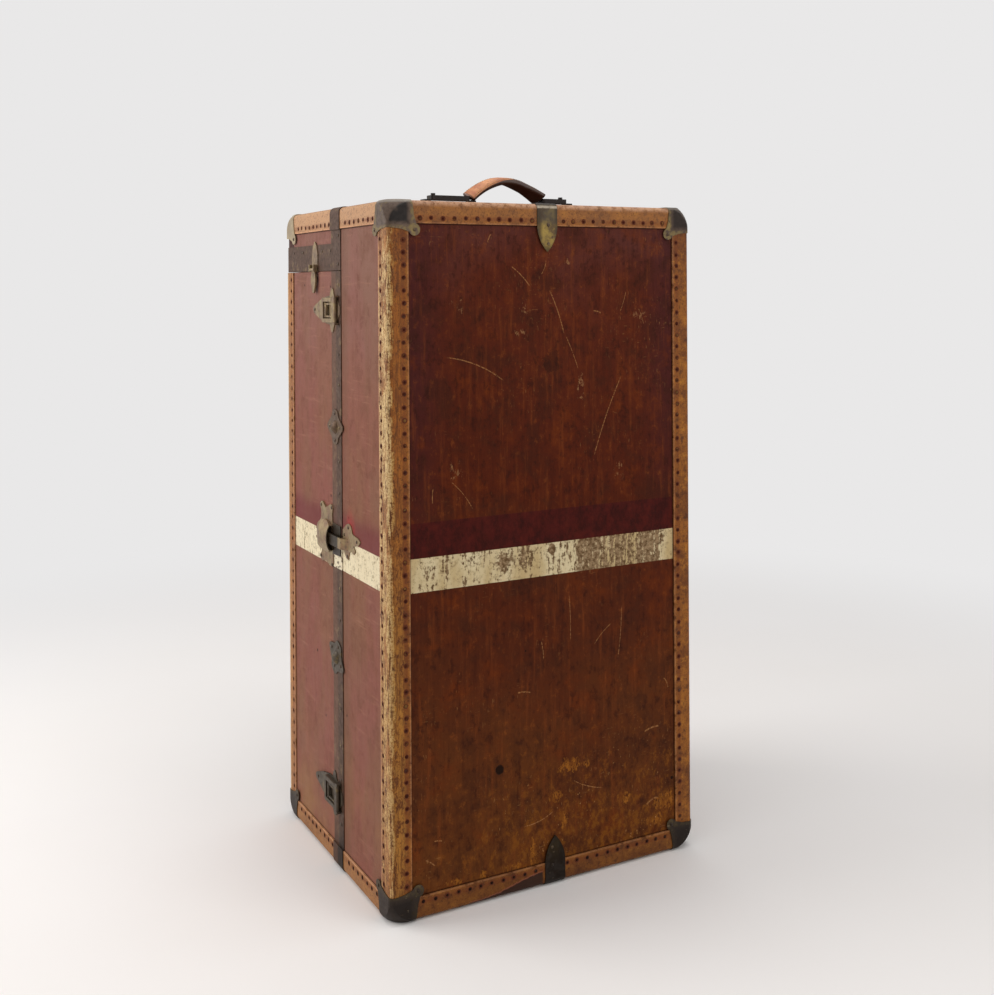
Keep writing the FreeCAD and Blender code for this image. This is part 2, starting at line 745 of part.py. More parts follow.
def latch_base(name, height):
    """Pointed base plate with the ears and pin that carry the lever."""
    far = latch_length
    tall = latch_height / 2 - 5
    outline = ring([(2, 7), (latch_pivot + 6, tall * 0.7), (latch_pivot + 14, tall * 0.75),
                    (latch_pivot + 18, tall, 5), (latch_pivot + 30, tall),
                    (latch_pivot + 34, tall * 0.75), (far / 2, tall * 0.7),
                    (far - 36, tall / 2), (far - 4, 5, 3)])
    plate = side_plate(name, outline, height)
    half = latch_lever_height / 2
    ear_x = (latch_axis_x - barrel_radius, hardware_face - plate_thick / 2)
    ear_y = (latch_axis_y - 5, latch_axis_y + 5)
    ear_low = box(name + "_ear_low", ear_x, ear_y,
                  (height - half - running_clear - 3, height - half - running_clear))
    ear_high = box(name + "_ear_high", ear_x, ear_y,
                   (height + half + running_clear, height + half + running_clear + 3))
    bar = rod(name + "_bar", latch_pin_radius,
              (latch_axis_x, latch_axis_y, height - half - running_clear - 2),
              latch_lever_height + 2 * running_clear + 4, "z")
    return fuse(name, [plate, ear_low, ear_high, bar])


def latch_lever(name, height):
    """Open rectangular lever with a barrel round the base's pin."""
    half = latch_lever_height / 2
    low_x = latch_axis_x - latch_lever_thick / 2
    points = ring([(0, half), (latch_lever_length - 5, half, 1.5),
                   (latch_lever_length, half - 5)])
    frame = slab(name + "_frame", "YZ_Plane", points, latch_lever_thick)
    round_edges(frame, latch_lever_thick / 5, lambda edge: edge.BoundBox.XMax < 0.001
                and edge.BoundBox.YMax > 0.001)
    place(frame, low_x, latch_axis_y, height)
    window = box(name + "_window", (low_x - 1, low_x + latch_lever_thick + 1),
                 (latch_axis_y + latch_wall + 2, latch_axis_y + latch_lever_length - latch_wall - 1),
                 (height - half + latch_wall, height + half - latch_wall))
    barrel = rod(name + "_barrel", barrel_radius,
                 (latch_axis_x, latch_axis_y, height - half), latch_lever_height, "z")
    bore = rod(name + "_bore", latch_pin_radius + pin_clear,
               (latch_axis_x, latch_axis_y, height - half - 1), latch_lever_height + 2, "z")
    bail_bore = rod(name + "_bail_bore", latch_pin_radius - 0.5 + pin_clear,
                    (latch_axis_x, bail_axis_y, height - bail_half - 5), 2 * bail_half + 10, "z")
    solid = fuse(name + "_solid", [cut(name + "_open", frame, window), barrel])
    return cut(name, solid, fuse(name + "_bores", [bore, bail_bore]))


def latch_bail(name, height):
    """Wire loop with a roller at its end, hinged in the lever's side bars."""
    arm = latch_pin_radius * 1.4
    pieces = [
        rod(name + "_axle", latch_pin_radius - 0.5,
            (latch_axis_x, bail_axis_y, height - bail_half - 4.5), 2 * bail_half + 9, "z"),
        rod(name + "_roller", latch_pin_radius + 0.6,
            (latch_axis_x, roller_y, height - bail_half), 2 * bail_half, "z")]
    for number, low in enumerate((height - bail_half + 0.5, height + bail_half - 0.5 - arm)):
        pieces.append(box(name + "_arm" + str(number),
                          (latch_axis_x - arm / 2, latch_axis_x + arm / 2),
                          (bail_axis_y, roller_y), (low, low + arm)))
    return fuse(name, pieces)


upper_latch_base = latch_base("upper_latch_base", upper_latch_height)
upper_latch_lever = latch_lever("upper_latch_lever", upper_latch_height)
upper_latch_bail = latch_bail("upper_latch_bail", upper_latch_height)
lower_latch_base = latch_base("lower_latch_base", lower_latch_height)
lower_latch_lever = latch_lever("lower_latch_lever", lower_latch_height)
lower_latch_bail = latch_bail("lower_latch_bail", lower_latch_height)


def seam_plate(name, height, turn):
    """Four-lobed guide plate with a dome, which laps over the seam."""
    half = seam_plate_length / 2
    centre = half - seam_plate_lap
    tall = seam_plate_width / 2 - 4
    points = ring([(half * -1, 5), (-16, tall - 9), (-12, tall, 4),
                   (12, tall), (16, tall - 9), (half, 5, 3)])
    points[-1] = points[-1] + (3,)
    plate = side_plate(name, points, height, centre, turn)
    ball_radius = (dome_radius * dome_radius + dome_rise * dome_rise) / (2 * dome_rise)
    ball = doc.addObject("Part::Sphere", name + "_ball")
    bind(ball, "Radius", ball_radius)
    face = hardware_face - plate_thick
    place(ball, face - dome_rise + ball_radius, seam + centre, height)
    dome = common(name + "_dome", ball, box(
        name + "_dome_zone", (face - dome_rise - 1, face + plate_thick / 2),
        (seam + centre - half, seam + centre + half), (height - tall, height + tall)))
    return fuse(name, [plate, dome])


# The lower one was nailed on askew
askew = 28
upper_seam_plate = seam_plate("upper_seam_plate", upper_seam_plate_height, 0)
lower_seam_plate = seam_plate("lower_seam_plate", lower_seam_plate_height, askew)

# Lock: eared base plate on the rear half, hollow lever over it, hooked strike on the front half
lock_tall = lock_plate_height / 2
lock_half = lock_lever_width / 2
lug_half = 6
lock_far = lock_length + lug_half
lock_points = [
    (4, lock_half * -0.9), (lock_far * 0.36, lock_half * -0.95),
    (lock_far * 0.34, lock_tall * -0.74, 1), (lock_far * 0.4, lock_tall * -0.88, 1),
    (lock_far * 0.54, lock_tall * -0.86), (lock_far * 0.7, lock_tall * -0.78),
    (lock_far * 0.83, lock_tall * -0.86, 1), (lock_far * 0.93, lock_tall * -0.76, 1),
    (lock_far * 0.87, lock_tall * -0.6), (lock_far * 0.84, lock_half * -0.95),
    (lock_far, lock_half * -0.5, 3), (lock_far, lock_half * 0.5),
    (lock_far * 0.88, lock_half * 0.95), (lock_far * 0.87, lock_tall * 0.7),
    (lock_far * 0.93, lock_tall * 0.86, 2), (lock_far * 0.82, lock_tall),
    (lock_far * 0.68, lock_tall * 0.84), (lock_far * 0.46, lock_tall, 2),
    (lock_far * 0.36, lock_tall * 0.9), (lock_far * 0.39, lock_tall * 0.74),
    (lock_far * 0.38, lock_half * 0.95), (4, lock_half * 0.9)]
lock_plate = side_plate("lock", lock_points, lock_height)
lock_axis_y = seam + lock_length
lock_barrel = lock_pin_radius + 1.3
lock_axis_x = hardware_face - plate_thick - lock_barrel - running_clear
lug_gap = lug_half + running_clear
lug_x = (lock_axis_x - lock_barrel, hardware_face - plate_thick / 2)
lug_y = (lock_axis_y - 4.5, lock_axis_y + 4.5)
lock_base = fuse("lock_base", [
    lock_plate,
    box("lock_lug_low", lug_x, lug_y, (lock_height - lug_gap - 4, lock_height - lug_gap)),
    box("lock_lug_high", lug_x, lug_y, (lock_height + lug_gap, lock_height + lug_gap + 4)),
    rod("lock_pin", lock_pin_radius, (lock_axis_x, lock_axis_y, lock_height - lug_gap - 3),
        2 * (lug_gap + 3), "z")])

# The lever is a hollow dome: a wedge in plan, crowned across, with its mouth at the seam
lever_under = hardware_face - plate_thick - 2 * running_clear
lever_top = hardware_face - lock_rise
lever_tail = lock_axis_x - lock_barrel
lever_fall = lever_tail - lever_top
lever_run = lock_length - lock_mouth
lever_shoulder = lock_mouth + lever_run / 3
lever_profile = slab("lock_lever_profile", "XY_Plane", [
    (lever_under, lock_mouth), (lever_top, lock_mouth),
    (lever_top, lever_shoulder, lever_fall / 4),
    (lever_tail, lock_length), (lock_axis_x, lock_length), (lever_under, lock_length - 6)],
    lock_lever_width)
place(lever_profile, 0, seam, lock_height - lock_half)
lever_face = slab("lock_lever_face", "YZ_Plane", ring([
    (lock_mouth, lock_half * 0.75), (lock_mouth + lever_run * 0.25, lock_half * 0.93, 1.5),
    (lock_mouth + lever_run * 0.7, lock_half * 0.9, 2), (lock_length - 8, lock_half * 0.4),
    (lock_length - 7, lug_half), (lock_length, lug_half)]), 2 * lock_rise, reverse=True)
place(lever_face, lever_under + 5, seam, lock_height)
lever_crown = rod("lock_lever_crown", lock_dome_radius,
                  (lever_top + lock_dome_radius, seam, lock_height), lock_far, "y")
lever_shape = common("lock_lever_shape", common("lock_lever_wedge", lever_profile, lever_face),
                     lever_crown)
hollow_profile = slab("lock_hollow_profile", "XY_Plane", [
    (lever_under + 1, lock_mouth - 5), (lever_top + lock_lever_wall, lock_mouth - 5),
    (lever_top + lock_lever_wall, lever_shoulder),
    (lever_tail + lock_lever_wall, lock_length - 12), (lever_under + 1, lock_length - 12)],
    lock_lever_width)
place(hollow_profile, 0, seam, lock_height - lock_half)
hollow_face = slab("lock_hollow_face", "YZ_Plane", ring([
    (lock_mouth - 5, lock_half * 0.75 - 2), (lock_mouth + lever_run * 0.25, lock_half * 0.93 - 2),
    (lock_mouth + lever_run * 0.7, lock_half * 0.9 - 2), (lock_length - 12, lock_half * 0.4)]),
    2 * lock_rise, reverse=True)
place(hollow_face, lever_under + 5, seam, lock_height)
hollow_crown = rod("lock_hollow_crown", lock_dome_radius - lock_lever_wall,
                   (lever_top + lock_dome_radius, seam - 1, lock_height), lock_far, "y")
lever_hollow = common("lock_lever_hollow", common("lock_hollow_wedge", hollow_profile, hollow_face),
                      hollow_crown)
lock_lever = cut("lock_lever", fuse("lock_lever_solid", [
    cut("lock_lever_shell", lever_shape, lever_hollow),
    rod("lock_lever_barrel", lock_barrel,
        (lock_axis_x, lock_axis_y, lock_height - lug_half), 2 * lug_half, "z")]),
    rod("lock_lever_bore", lock_pin_radius + pin_clear,
        (lock_axis_x, lock_axis_y, lock_height - lug_half - 1), 2 * lug_half + 2, "z"))

# Strike: a leaf-shaped plate on the front half, whose hook reaches into the lever's mouth
leaf = strike_width / 2
stem = strike_length * -1
strike_base = slab("strike_base", "YZ_Plane", [
    (-4, leaf * -0.27), (stem * 0.16, leaf * -0.57, 2), (stem * 0.33, leaf * -0.8, 1),
    (stem * 0.41, leaf * -0.37), (stem * 0.55, leaf * -0.23, 1), (stem * 0.65, leaf * -0.37, 1),
    (stem * 0.73, leaf * -0.13), (stem * 0.64, leaf * 0.07), (stem * 0.88, leaf * 0.23, 1),
    (stem, leaf * 0.47, 2), (stem * 0.77, leaf * 0.63), (stem * 0.57, leaf * 0.73, 1),
    (stem * 0.5, leaf * 1.07, 2), (stem * 0.32, leaf * 1.17, 1), (-4, leaf * 0.73)],
    plate_thick + fit, reverse=True)
place(strike_base, left - under_trim, seam, lock_height)
hook_low = hardware_face - plate_thick - hook_thick
hook_high = hook_low - hook_thick - 1
hook_tip = lock_mouth + hook_lap
strike_hook = slab("strike_hook", "XY_Plane", [
    (left - under_trim - 1, -30), (hook_high, -14), (hook_high, hook_tip), (hook_low + 1, hook_tip),
    (hook_low + 1, hook_tip - 4), (hook_low - 1, hook_tip - 4), (hook_low - 1, -8),
    (left - under_trim - 1, -20)], hook_width)
place(strike_hook, 0, seam, lock_height - hook_width / 2)
strike_plate = fuse("strike_plate", [strike_base, strike_hook])

# ---------------------------------------------------------------- lid clasps, one on each side
clasp_axis_z = lid_seam + 3
clasp_barrel = clasp_pin_radius + 1.9
clasp_y = seam + clasp_offset
clasp_rise = plate_thick + clasp_barrel + running_clear
right_face = right + binding_out + fit
left_clasp_x = hardware_face - clasp_rise
right_clasp_x = right_face + clasp_rise


def clasp(side, face, axis_x, direction):
    """Plate with a hinged tongue that hangs over the lid seam."""
    name = side + "_clasp"
    reverse = direction < 0
    wide = clasp_width / 2
    upper = [(1 - wide, 6), (wide * -1, clasp_height * 0.56), (wide * -0.57, clasp_height * 0.84),
             (0, clasp_height), (wide * 0.57, clasp_height * 0.84), (wide, clasp_height * 0.56),
             (wide - 1, 6)]
    plate = slab(name + "_back", "YZ_Plane", upper, plate_thick, reverse=reverse)
    place(plate, face, clasp_y, clasp_axis_z)
    lug_x = sorted((face + plate_thick / 2 * direction,
                    axis_x + clasp_barrel * direction), key=float)
    lugs = []
    for number, low in enumerate((clasp_y - 12, clasp_y + 8 + running_clear)):
        lugs.append(box(name + "_lug" + str(number), lug_x,
                        (low, low + 4 - running_clear),
                        (clasp_axis_z - clasp_barrel, clasp_axis_z + 9)))
    axle = rod(name + "_axle", clasp_pin_radius, (axis_x, clasp_y - 11, clasp_axis_z), 22, "y")
    fixed = fuse(name + "_fixed", [plate] + lugs + [axle])
    low = clasp_tongue * -1
    hanging = [(-8, 0), (-8, -6), (3 - wide, low / 3), (3 - wide, low * 0.58), (-5, low, 3),
               (5, low), (wide - 3, low * 0.58), (wide - 3, low / 3), (8, -6), (8, 0)]
    leaf = slab(name + "_leaf", "YZ_Plane", hanging, clasp_barrel - 0.4, reverse=reverse)
    place(leaf, axis_x - clasp_barrel * direction, clasp_y, clasp_axis_z)
    barrel = rod(name + "_barrel", clasp_barrel, (axis_x, clasp_y - 8, clasp_axis_z), 16, "y")
    bore = rod(name + "_bore", clasp_pin_radius + pin_clear,
               (axis_x, clasp_y - 9, clasp_axis_z), 18, "y")
    return fixed, cut(name, fuse(name + "_solid", [leaf, barrel]), bore)


left_fixed, left_clasp = clasp("left", hardware_face, left_clasp_x, -1)
right_fixed, right_clasp = clasp("right", right_face, right_clasp_x, 1)
clasp_plates = group("clasp_plates", [left_fixed, right_fixed])

# ---------------------------------------------------------------- handle on the front half's top
handle_y = seam - handle_setback
handle_x = middle + handle_shift
handle_base = top + under_trim
half_grip = grip_length / 2
half_bar = bar_width / 2
bars = []
for side, length, direction in (("left", bar_left, -1), ("right", bar_right, 1)):
    inner_end = handle_x + (half_grip + fit) * direction
    outer_end = inner_end + length * direction
    span = (outer_end, inner_end) if direction < 0 else (inner_end, outer_end)
    low, high = span
    bar = slab("handle_bar_" + side, "XY_Plane", [
        (low + 4, half_bar * -1), (high - 4, half_bar * -1, 1.2), (high, 4 - half_bar),
        (high, half_bar - 4, 1.2), (high - 4, half_bar), (low + 4, half_bar, 1.2),
        (low, half_bar - 4), (low, 4 - half_bar, 1.2)], bar_thick)
    place(bar, 0, handle_y, handle_base + bar_lift)
    pieces = [bar, rod("handle_knob_" + side, 4, (
        outer_end - 8 * direction, handle_y, handle_base + bar_lift + bar_thick - 1), 5, "z")]
    for end, start in (("outer", outer_end), ("inner", inner_end)):
        turn = direction if end == "inner" else direction * -1
        foot_low, foot_high = start, start - bar_foot * turn
        foot_span = (foot_high, foot_low) if turn > 0 else (foot_low, foot_high)
        pieces.append(box("handle_foot_" + side + end, foot_span,
                          (handle_y - half_bar + 2, handle_y + half_bar - 2),
                          (handle_base, handle_base + bar_lift + 1)))
    bars.append(fuse("handle_end_" + side, pieces))
handle_ends = group("handle_ends", bars)
handle_grip = slab("handle_grip", "XZ_Plane", [
    (half_grip * -1, grip_low), (grip_foot - half_grip, grip_low, grip_low - grip_under),
    (half_grip - grip_foot, grip_low), (half_grip, grip_low),
    (half_grip, grip_end, grip_rise - grip_end), (half_grip * -1, grip_end)],
    grip_width, middle_plane=True)
place(handle_grip, handle_x, handle_y, handle_base)

# ---------------------------------------------------------------- shelf and drawers
inner_left = left - lining_in
inner_right = right + lining_in
inner_front = front - lining_in
inner_bottom = bottom - lining_in
drawer_face = seam - drawer_setback
drawer_left = inner_left + drawer_side_gap
drawer_right = inner_right - drawer_side_gap
drawer_back = drawer_face - drawer_depth
hat_shelf = box("hat_shelf", (inner_left + fit, inner_right - fit),
                (inner_front + fit, drawer_face - valance_depth),
                (shelf_height, shelf_height + shelf_thick))
stack_height = shelf_height - inner_bottom - drawer_gap
heights = (1.35, 1.1, 0.95, 0.85, 0.75)
drawer_lows = []
drawer_highs = []
low = inner_bottom + drawer_gap
for share in heights:
    pitch = stack_height * (share / sum(heights))
    drawer_lows.append(low)
    drawer_highs.append(low + pitch - drawer_gap)
    low = low + pitch


def drawer(number, low, high):
    """Open box with a thicker front and a groove along each side for its runner."""
    name = "drawer_" + str(number)
    groove_low = (low + high) / 2 - runner_height / 2 - running_clear
    block = box(name + "_block", (drawer_left, drawer_right), (drawer_back, drawer_face),
                (low, high))
    inside = box(name + "_inside", (drawer_left + drawer_wall, drawer_right - drawer_wall),
                 (drawer_back + drawer_wall, drawer_face - drawer_front_thick),
                 (low + drawer_floor, high + beyond))
    grooves = []
    for side, x in (("left", (drawer_left - beyond, drawer_left + groove_depth)),
                    ("right", (drawer_right - groove_depth, drawer_right + beyond))):
        grooves.append(box(name + "_groove_" + side, x,
                           (drawer_back - beyond, drawer_face - drawer_front_thick),
                           (groove_low, groove_low + runner_height + 2 * running_clear)))
    # The back and sides are lower than the front, so that the drawer lifts off easily
    lowered = box(name + "_lowered", (drawer_left - beyond, drawer_right + beyond),
                  (drawer_back - beyond, drawer_face - drawer_front_thick),
                  (high - drawer_wall, high + beyond))
    return cut(name, block, fuse(name + "_cuts", [inside, lowered] + grooves))


def drawer_pull(number, low, high):
    """Turned knob with a waist and a domed face."""
    name = "drawer_pull_" + str(number)
    body = doc.addObject("PartDesign::Body", name)
    neck = knob_radius * 0.45
    outline = sketch(body, "XY_Plane", [
        (fit * 0, 0), (knob_radius * 0.7, 0), (knob_radius * 0.7, 2), (neck, 4),
        (neck, knob_reach - 6), (knob_radius, knob_reach - 4), (knob_radius, knob_reach - 2),
        (knob_radius * 0.6, knob_reach), (fit * 0, knob_reach)])
    turned = body.newObject("PartDesign::Revolution", name + "_turned")
    turned.Profile = outline
    turned.ReferenceAxis = (outline, ["V_Axis"])
    turned.Angle = 360
    return place(body, middle, drawer_face, (low + high) / 2)


runners = []
drawers = []
pulls = []
for number, (low, high) in enumerate(zip(drawer_lows, drawer_highs), 1):
    drawers.append(drawer(number, low, high))
    pulls.append(drawer_pull(number, low, high))
    runner_low = (low + high) / 2 - runner_height / 2
    runner_y = (inner_front + fit, drawer_face - valance_depth - 4)
    for side, x in (("left", (inner_left + fit, drawer_left + groove_depth - running_clear)),
                    ("right", (drawer_right - groove_depth + running_clear, inner_right - fit))):
        runners.append(box("runner_" + str(number) + side, x, runner_y,
                           (runner_low, runner_low + runner_height)))
drawer_runners = group("drawer_runners", runners)

# ---------------------------------------------------------------- clothes carriage and hangers
inner_rear = rear + lining_in
channel_y = (lining_rear_start + 4, inner_rear - 2)
channel_low = rail_height - channel_height / 2
channel_high = rail_height + channel_height / 2


def channel(name, wall_x, direction):
    """C-shaped guide on a side wall, open towards the middle."""
    x = sorted((wall_x, wall_x + channel_depth * direction), key=float)
    block = box(name + "_block", x, channel_y, (channel_low, channel_high))
    slot_x = sorted((wall_x + channel_wall * direction,
                     wall_x + (channel_depth + 1) * direction), key=float)
    slot = box(name + "_slot", slot_x, (channel_y[0] - 1, channel_y[1] + 1),
               (channel_low + channel_wall, channel_high - channel_wall))
    return cut(name, block, slot)


side_channels = group("side_channels", [
    channel("left_channel", inner_left + fit, 1),
    channel("right_channel", inner_right - fit, -1)])

carriage_rear = channel_y[1] - 3
carriage_front = carriage_rear - carriage_length
slide_half = channel_height / 2 - channel_wall - running_clear
slide_left = inner_left + fit + channel_wall + running_clear
slide_right = inner_right - fit - channel_wall - running_clear
bar_half = carriage_bar_height / 2
carriage_pieces = [rod("carriage_rod", rail_radius, (middle, carriage_front + 1, rail_height),
                       carriage_length - 2, "y")]
for name, y in (("front", (carriage_front, carriage_front + carriage_bar)),
                ("rear", (carriage_rear - carriage_bar, carriage_rear))):
    carriage_pieces.append(box("carriage_bar_" + name, (slide_left, slide_right), y,
                               (rail_height - bar_half, rail_height + bar_half)))
for name, x in (("left", (slide_left, slide_left + channel_depth - channel_wall - 1)),
                ("right", (slide_right - channel_depth + channel_wall + 1, slide_right))):
    carriage_pieces.append(box("carriage_slide_" + name, x, (carriage_front, carriage_rear),
                               (rail_height - slide_half, rail_height + slide_half)))
carriage = fuse("carriage", carriage_pieces)

hanger_y = [carriage_front + carriage_bar + hanger_pitch * (number + 0.6)
            for number in range(hanger_count)]
hook_radius = rail_radius + hook_clear + hook_wire
shoulder_drop = hook_radius + 26


def hanger(number):
    """Bent wooden shoulder piece under a wire hook that rides on the rail."""
    name = "hanger_" + str(number)
    y = hanger_y[number - 1]
    half = hanger_width / 2
    fall = hanger_fall * -1
    neck = hanger_width / 15
    shoulder = slab(name + "_shoulder", "XZ_Plane", [
        (half * -1, fall), (6 - half, fall - 8), (neck * -2, hanger_depth * -1, hanger_depth / -3),
        (neck * 2, hanger_depth * -1), (half - 6, fall - 8), (half, fall), (half - 8, fall + 8, 6),
        (neck, 0, neck / 12), (neck * -1, 0, 6), (8 - half, fall + 8)],
        hanger_thick, middle_plane=True)
    place(shoulder, middle, y, rail_height - shoulder_drop)
    loop = doc.addObject("Part::Torus", name + "_loop")
    bind(loop, "Radius1", hook_radius)
    bind(loop, "Radius2", hook_wire)
    loop.Angle3 = 250
    loop.Placement = FreeCAD.Placement(Vector(), FreeCAD.Rotation(Vector(1, 0, 0), 90))
    turned = copy_of(name + "_turned", loop, 0, 0, 0, FreeCAD.Rotation(Vector(0, 1, 0), 90))
    hook = copy_of(name + "_hook", turned, middle, y, rail_height)
    stem = rod(name + "_stem", hook_wire, (middle, y, rail_height - shoulder_drop - 6),
               shoulder_drop + 6 - hook_radius + hook_wire / 2, "z")
    return fuse(name, [shoulder, hook, stem])


hangers = [hanger(number) for number in range(1, hanger_count + 1)]

# ---------------------------------------------------------------- check and write
NODES = [
    front_shell, front_cover, front_lining, front_valance, front_trim, front_corner_caps,
    top_clip, bottom_clip, strike_plate, front_hinge_leaves, handle_ends, handle_grip,
    hat_shelf, drawer_runners,
    rear_shell, rear_cover, rear_lining, rear_trim, rear_corner_caps, rear_binding,
    rear_hinge_leaves, case_hinge_leaves, hinge_pins, upper_latch_base, lower_latch_base,
    upper_seam_plate, lower_seam_plate, lock_base, side_channels,
    lid_shell, lid_cover, lid_lining, lid_trim, lid_corner_caps, lid_binding, lid_band,
    lid_hinge_leaves, clasp_plates,
    upper_latch_lever, upper_latch_bail, lower_latch_lever, lower_latch_bail, lock_lever,
    left_clasp, right_clasp, carriage,
] + drawers + pulls + hangers

doc.recompute()
for item in doc.Objects:
    if "Invalid" in item.State or "Error" in item.State:
        raise RuntimeError(item.Name + " failed: " + str(item.State))
for node in NODES:
    node.Label = node.Name
    shape = node.Shape
    if shape.isNull() or not shape.isValid() or not shape.Solids:
        raise RuntimeError(node.Name + " has no valid solid")
    shape.exportStep("parts/" + node.Label + ".step")
    print(node.Label, len(shape.Solids), "solids", round(shape.Volume / 1000, 1), "cm3")
print(len(NODES), "nodes")
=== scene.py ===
# %% [markdown]
# # A wardrobe trunk, dressed
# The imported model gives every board, plate and pin of the trunk as a fixed frame.
# This lesson gives each of them a finish, adds the nails and rivets that hold the trunk together,
# and sets up a camera, a floor and lamps. The frame is loaded first, because every later
# cell reads its places from it instead of repeating numbers.

import math
import random

import bmesh
import bpy
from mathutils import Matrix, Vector


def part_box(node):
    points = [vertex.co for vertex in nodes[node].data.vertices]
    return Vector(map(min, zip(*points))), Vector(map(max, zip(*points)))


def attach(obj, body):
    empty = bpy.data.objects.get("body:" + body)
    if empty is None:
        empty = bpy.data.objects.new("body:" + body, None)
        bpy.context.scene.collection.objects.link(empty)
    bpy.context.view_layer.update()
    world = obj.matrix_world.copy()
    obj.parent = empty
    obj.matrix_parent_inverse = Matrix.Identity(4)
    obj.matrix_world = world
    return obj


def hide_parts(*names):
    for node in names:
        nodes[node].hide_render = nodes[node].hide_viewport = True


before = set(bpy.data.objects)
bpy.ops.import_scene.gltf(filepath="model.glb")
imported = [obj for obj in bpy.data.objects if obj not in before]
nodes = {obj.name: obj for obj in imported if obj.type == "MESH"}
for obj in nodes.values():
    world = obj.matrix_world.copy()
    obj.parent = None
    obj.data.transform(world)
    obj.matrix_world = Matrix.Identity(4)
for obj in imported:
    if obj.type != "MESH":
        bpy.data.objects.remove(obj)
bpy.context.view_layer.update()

# %% [markdown]
# ## The planes of the trunk
# A trunk is a box, so most patterns on it are measured from its six outer planes: wear follows
# the edges, bands run at one height, nails keep a distance from the corner. The planes could be
# typed in, but the frame already has them, so they are read from the strips that lie outermost.

# %% Outer planes in metres, and the widths that patterns and nails share, in millimetres
MM = 0.001
LEFT, FRONT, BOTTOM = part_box("front_trim")[0]
RIGHT, SEAM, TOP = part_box("front_trim")[1]
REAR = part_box("rear_trim")[1].y
LID_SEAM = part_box("rear_cover")[1].z
MIDDLE = (LEFT + RIGHT) / 2
# each face: its axis, the outward direction along that axis, its coordinate
FACES = {"left": (0, -1, LEFT), "right": (0, 1, RIGHT), "front": (1, -1, FRONT),
         "rear": (1, 1, REAR), "top": (2, 1, TOP), "bottom": (2, -1, BOTTOM)}
PLANES = {**FACES, "middle": (0, -1, MIDDLE), "seam": (1, -1, SEAM), "floor": (2, -1, 0.0),
          "lid_seam": (2, 1, LID_SEAM)}
TRIM = 36
NAIL_ROW = 27.5
SEAM_DEPTH = 201
BINDING_ROW = 212
BAND_HEIGHT = 1047
print("width", round(RIGHT - LEFT, 4), "depth", round(REAR - FRONT, 4), "seam", round(SEAM, 4),
      "lid seam", round(LID_SEAM, 4))

# %% [markdown]
# ## Camera
# The trunk is seen from its left front corner, from the height of a seated person. A level
# camera keeps upright edges upright; the frame is then lowered with the lens shift instead of
# tilting the camera, the way an architect's camera does it. The small turn about the viewing axis
# is the tilt of a camera held by hand.

# %% Place the camera
camera_data = bpy.data.cameras.new("camera")
camera = bpy.data.objects.new("camera", camera_data)
bpy.context.scene.collection.objects.link(camera)
camera.location = (-1.0179, -1.9635, 0.9818)
camera.rotation_euler = (math.pi / 2, 0.0060, -0.4930)
camera_data.lens = 43.96
camera_data.sensor_width = 36
camera_data.shift_y = -0.211
camera_data.clip_start = 0.01
bpy.context.scene.camera = camera
print("camera", tuple(round(v, 3) for v in camera.location))

# %% [markdown]
# ## Shader sums in plain Python
# A material is a graph of nodes, and a long graph written node by node is hard to read. One
# small class wraps a socket, so that a sum of two patterns is written as a sum. Every other
# node is made by one method, which takes the settings first, because some settings change
# which sockets a node has.


# %% A socket that can be used in sums
def operation(name):
    """A method that puts one Math node between a value and another one."""
    return lambda self, other: self.math(name, other)


class Wire:
    """A shader value: sums on it add Math nodes."""

    def __init__(self, socket):
        self.socket = socket
        self.tree = socket.id_data

    def node(self, kind, inputs=None, out=0, **settings):
        """Adds any shader node: its settings first, then the values or links of its sockets."""
        made = self.tree.nodes.new("ShaderNode" + kind)
        for name, value in settings.items():
            setattr(made, name, value)
        for name, value in (inputs or {}).items():
            plug(made.inputs[name], value)
        return Wire(made.outputs[out])

    def math(self, operation, *others):
        """One Math node with this value first."""
        return self.node("Math", dict(enumerate((self,) + others)), operation=operation)

    __add__ = __radd__ = operation("ADD")
    __sub__ = operation("SUBTRACT")
    __mul__ = __rmul__ = operation("MULTIPLY")
    __truediv__ = operation("DIVIDE")
    least = operation("MINIMUM")
    most = operation("MAXIMUM")

    def __rsub__(self, other):
        return (self * -1) + other

    def __abs__(self):
        return self.math("ABSOLUTE")

    def rise(self, low, high):
        """0 below low, 1 above high, and a soft step between them."""
        return self.node("MapRange", {"Value": self, "From Min": low, "From Max": high},
                         interpolation_type="SMOOTHSTEP")

    def fall(self, low, high):
        """1 below low, 0 above high."""
        return 1 - self.rise(low, high)


def plug(socket, value):
    """Links a wire to a socket, or sets the socket's own value."""
    if isinstance(value, Wire):
        value.tree.links.new(value.socket, socket)
    else:
        socket.default_value = value


def paint(code):
    """Turns a code such as 8a4b20, mixed for the eye, into a linear colour; wires stay."""
    if isinstance(code, Wire):
        return code
    parts = [int(code[i:i + 2], 16) / 255 for i in (0, 2, 4)]
    return tuple(p / 12.92 if p <= 0.04045 else ((p + 0.055) / 1.055) ** 2.4 for p in parts) + (1,)


def tint(amount, under, over):
    """Lays one colour over another, as much as the amount says."""
    return amount.node("Mix", {0: amount, 6: paint(under), 7: paint(over)}, out=2,
                       data_type="RGBA")


def coats(base, *layers):
    """Lays one coat after another over a colour; each is (how much of it shows, its colour)."""
    for amount, over in layers:
        base = tint(amount, base, over)
    return base


print("shader sums ready")


# %% [markdown]
# ## Patterns that every old surface shares
# Real finishes are uneven at several sizes at once: broad blotches from damp, streaks from the
# hand, fine grit. All of these are noise in object coordinates, stretched where the mark has a
# direction. Object coordinates keep the pattern on the piece when a door swings.

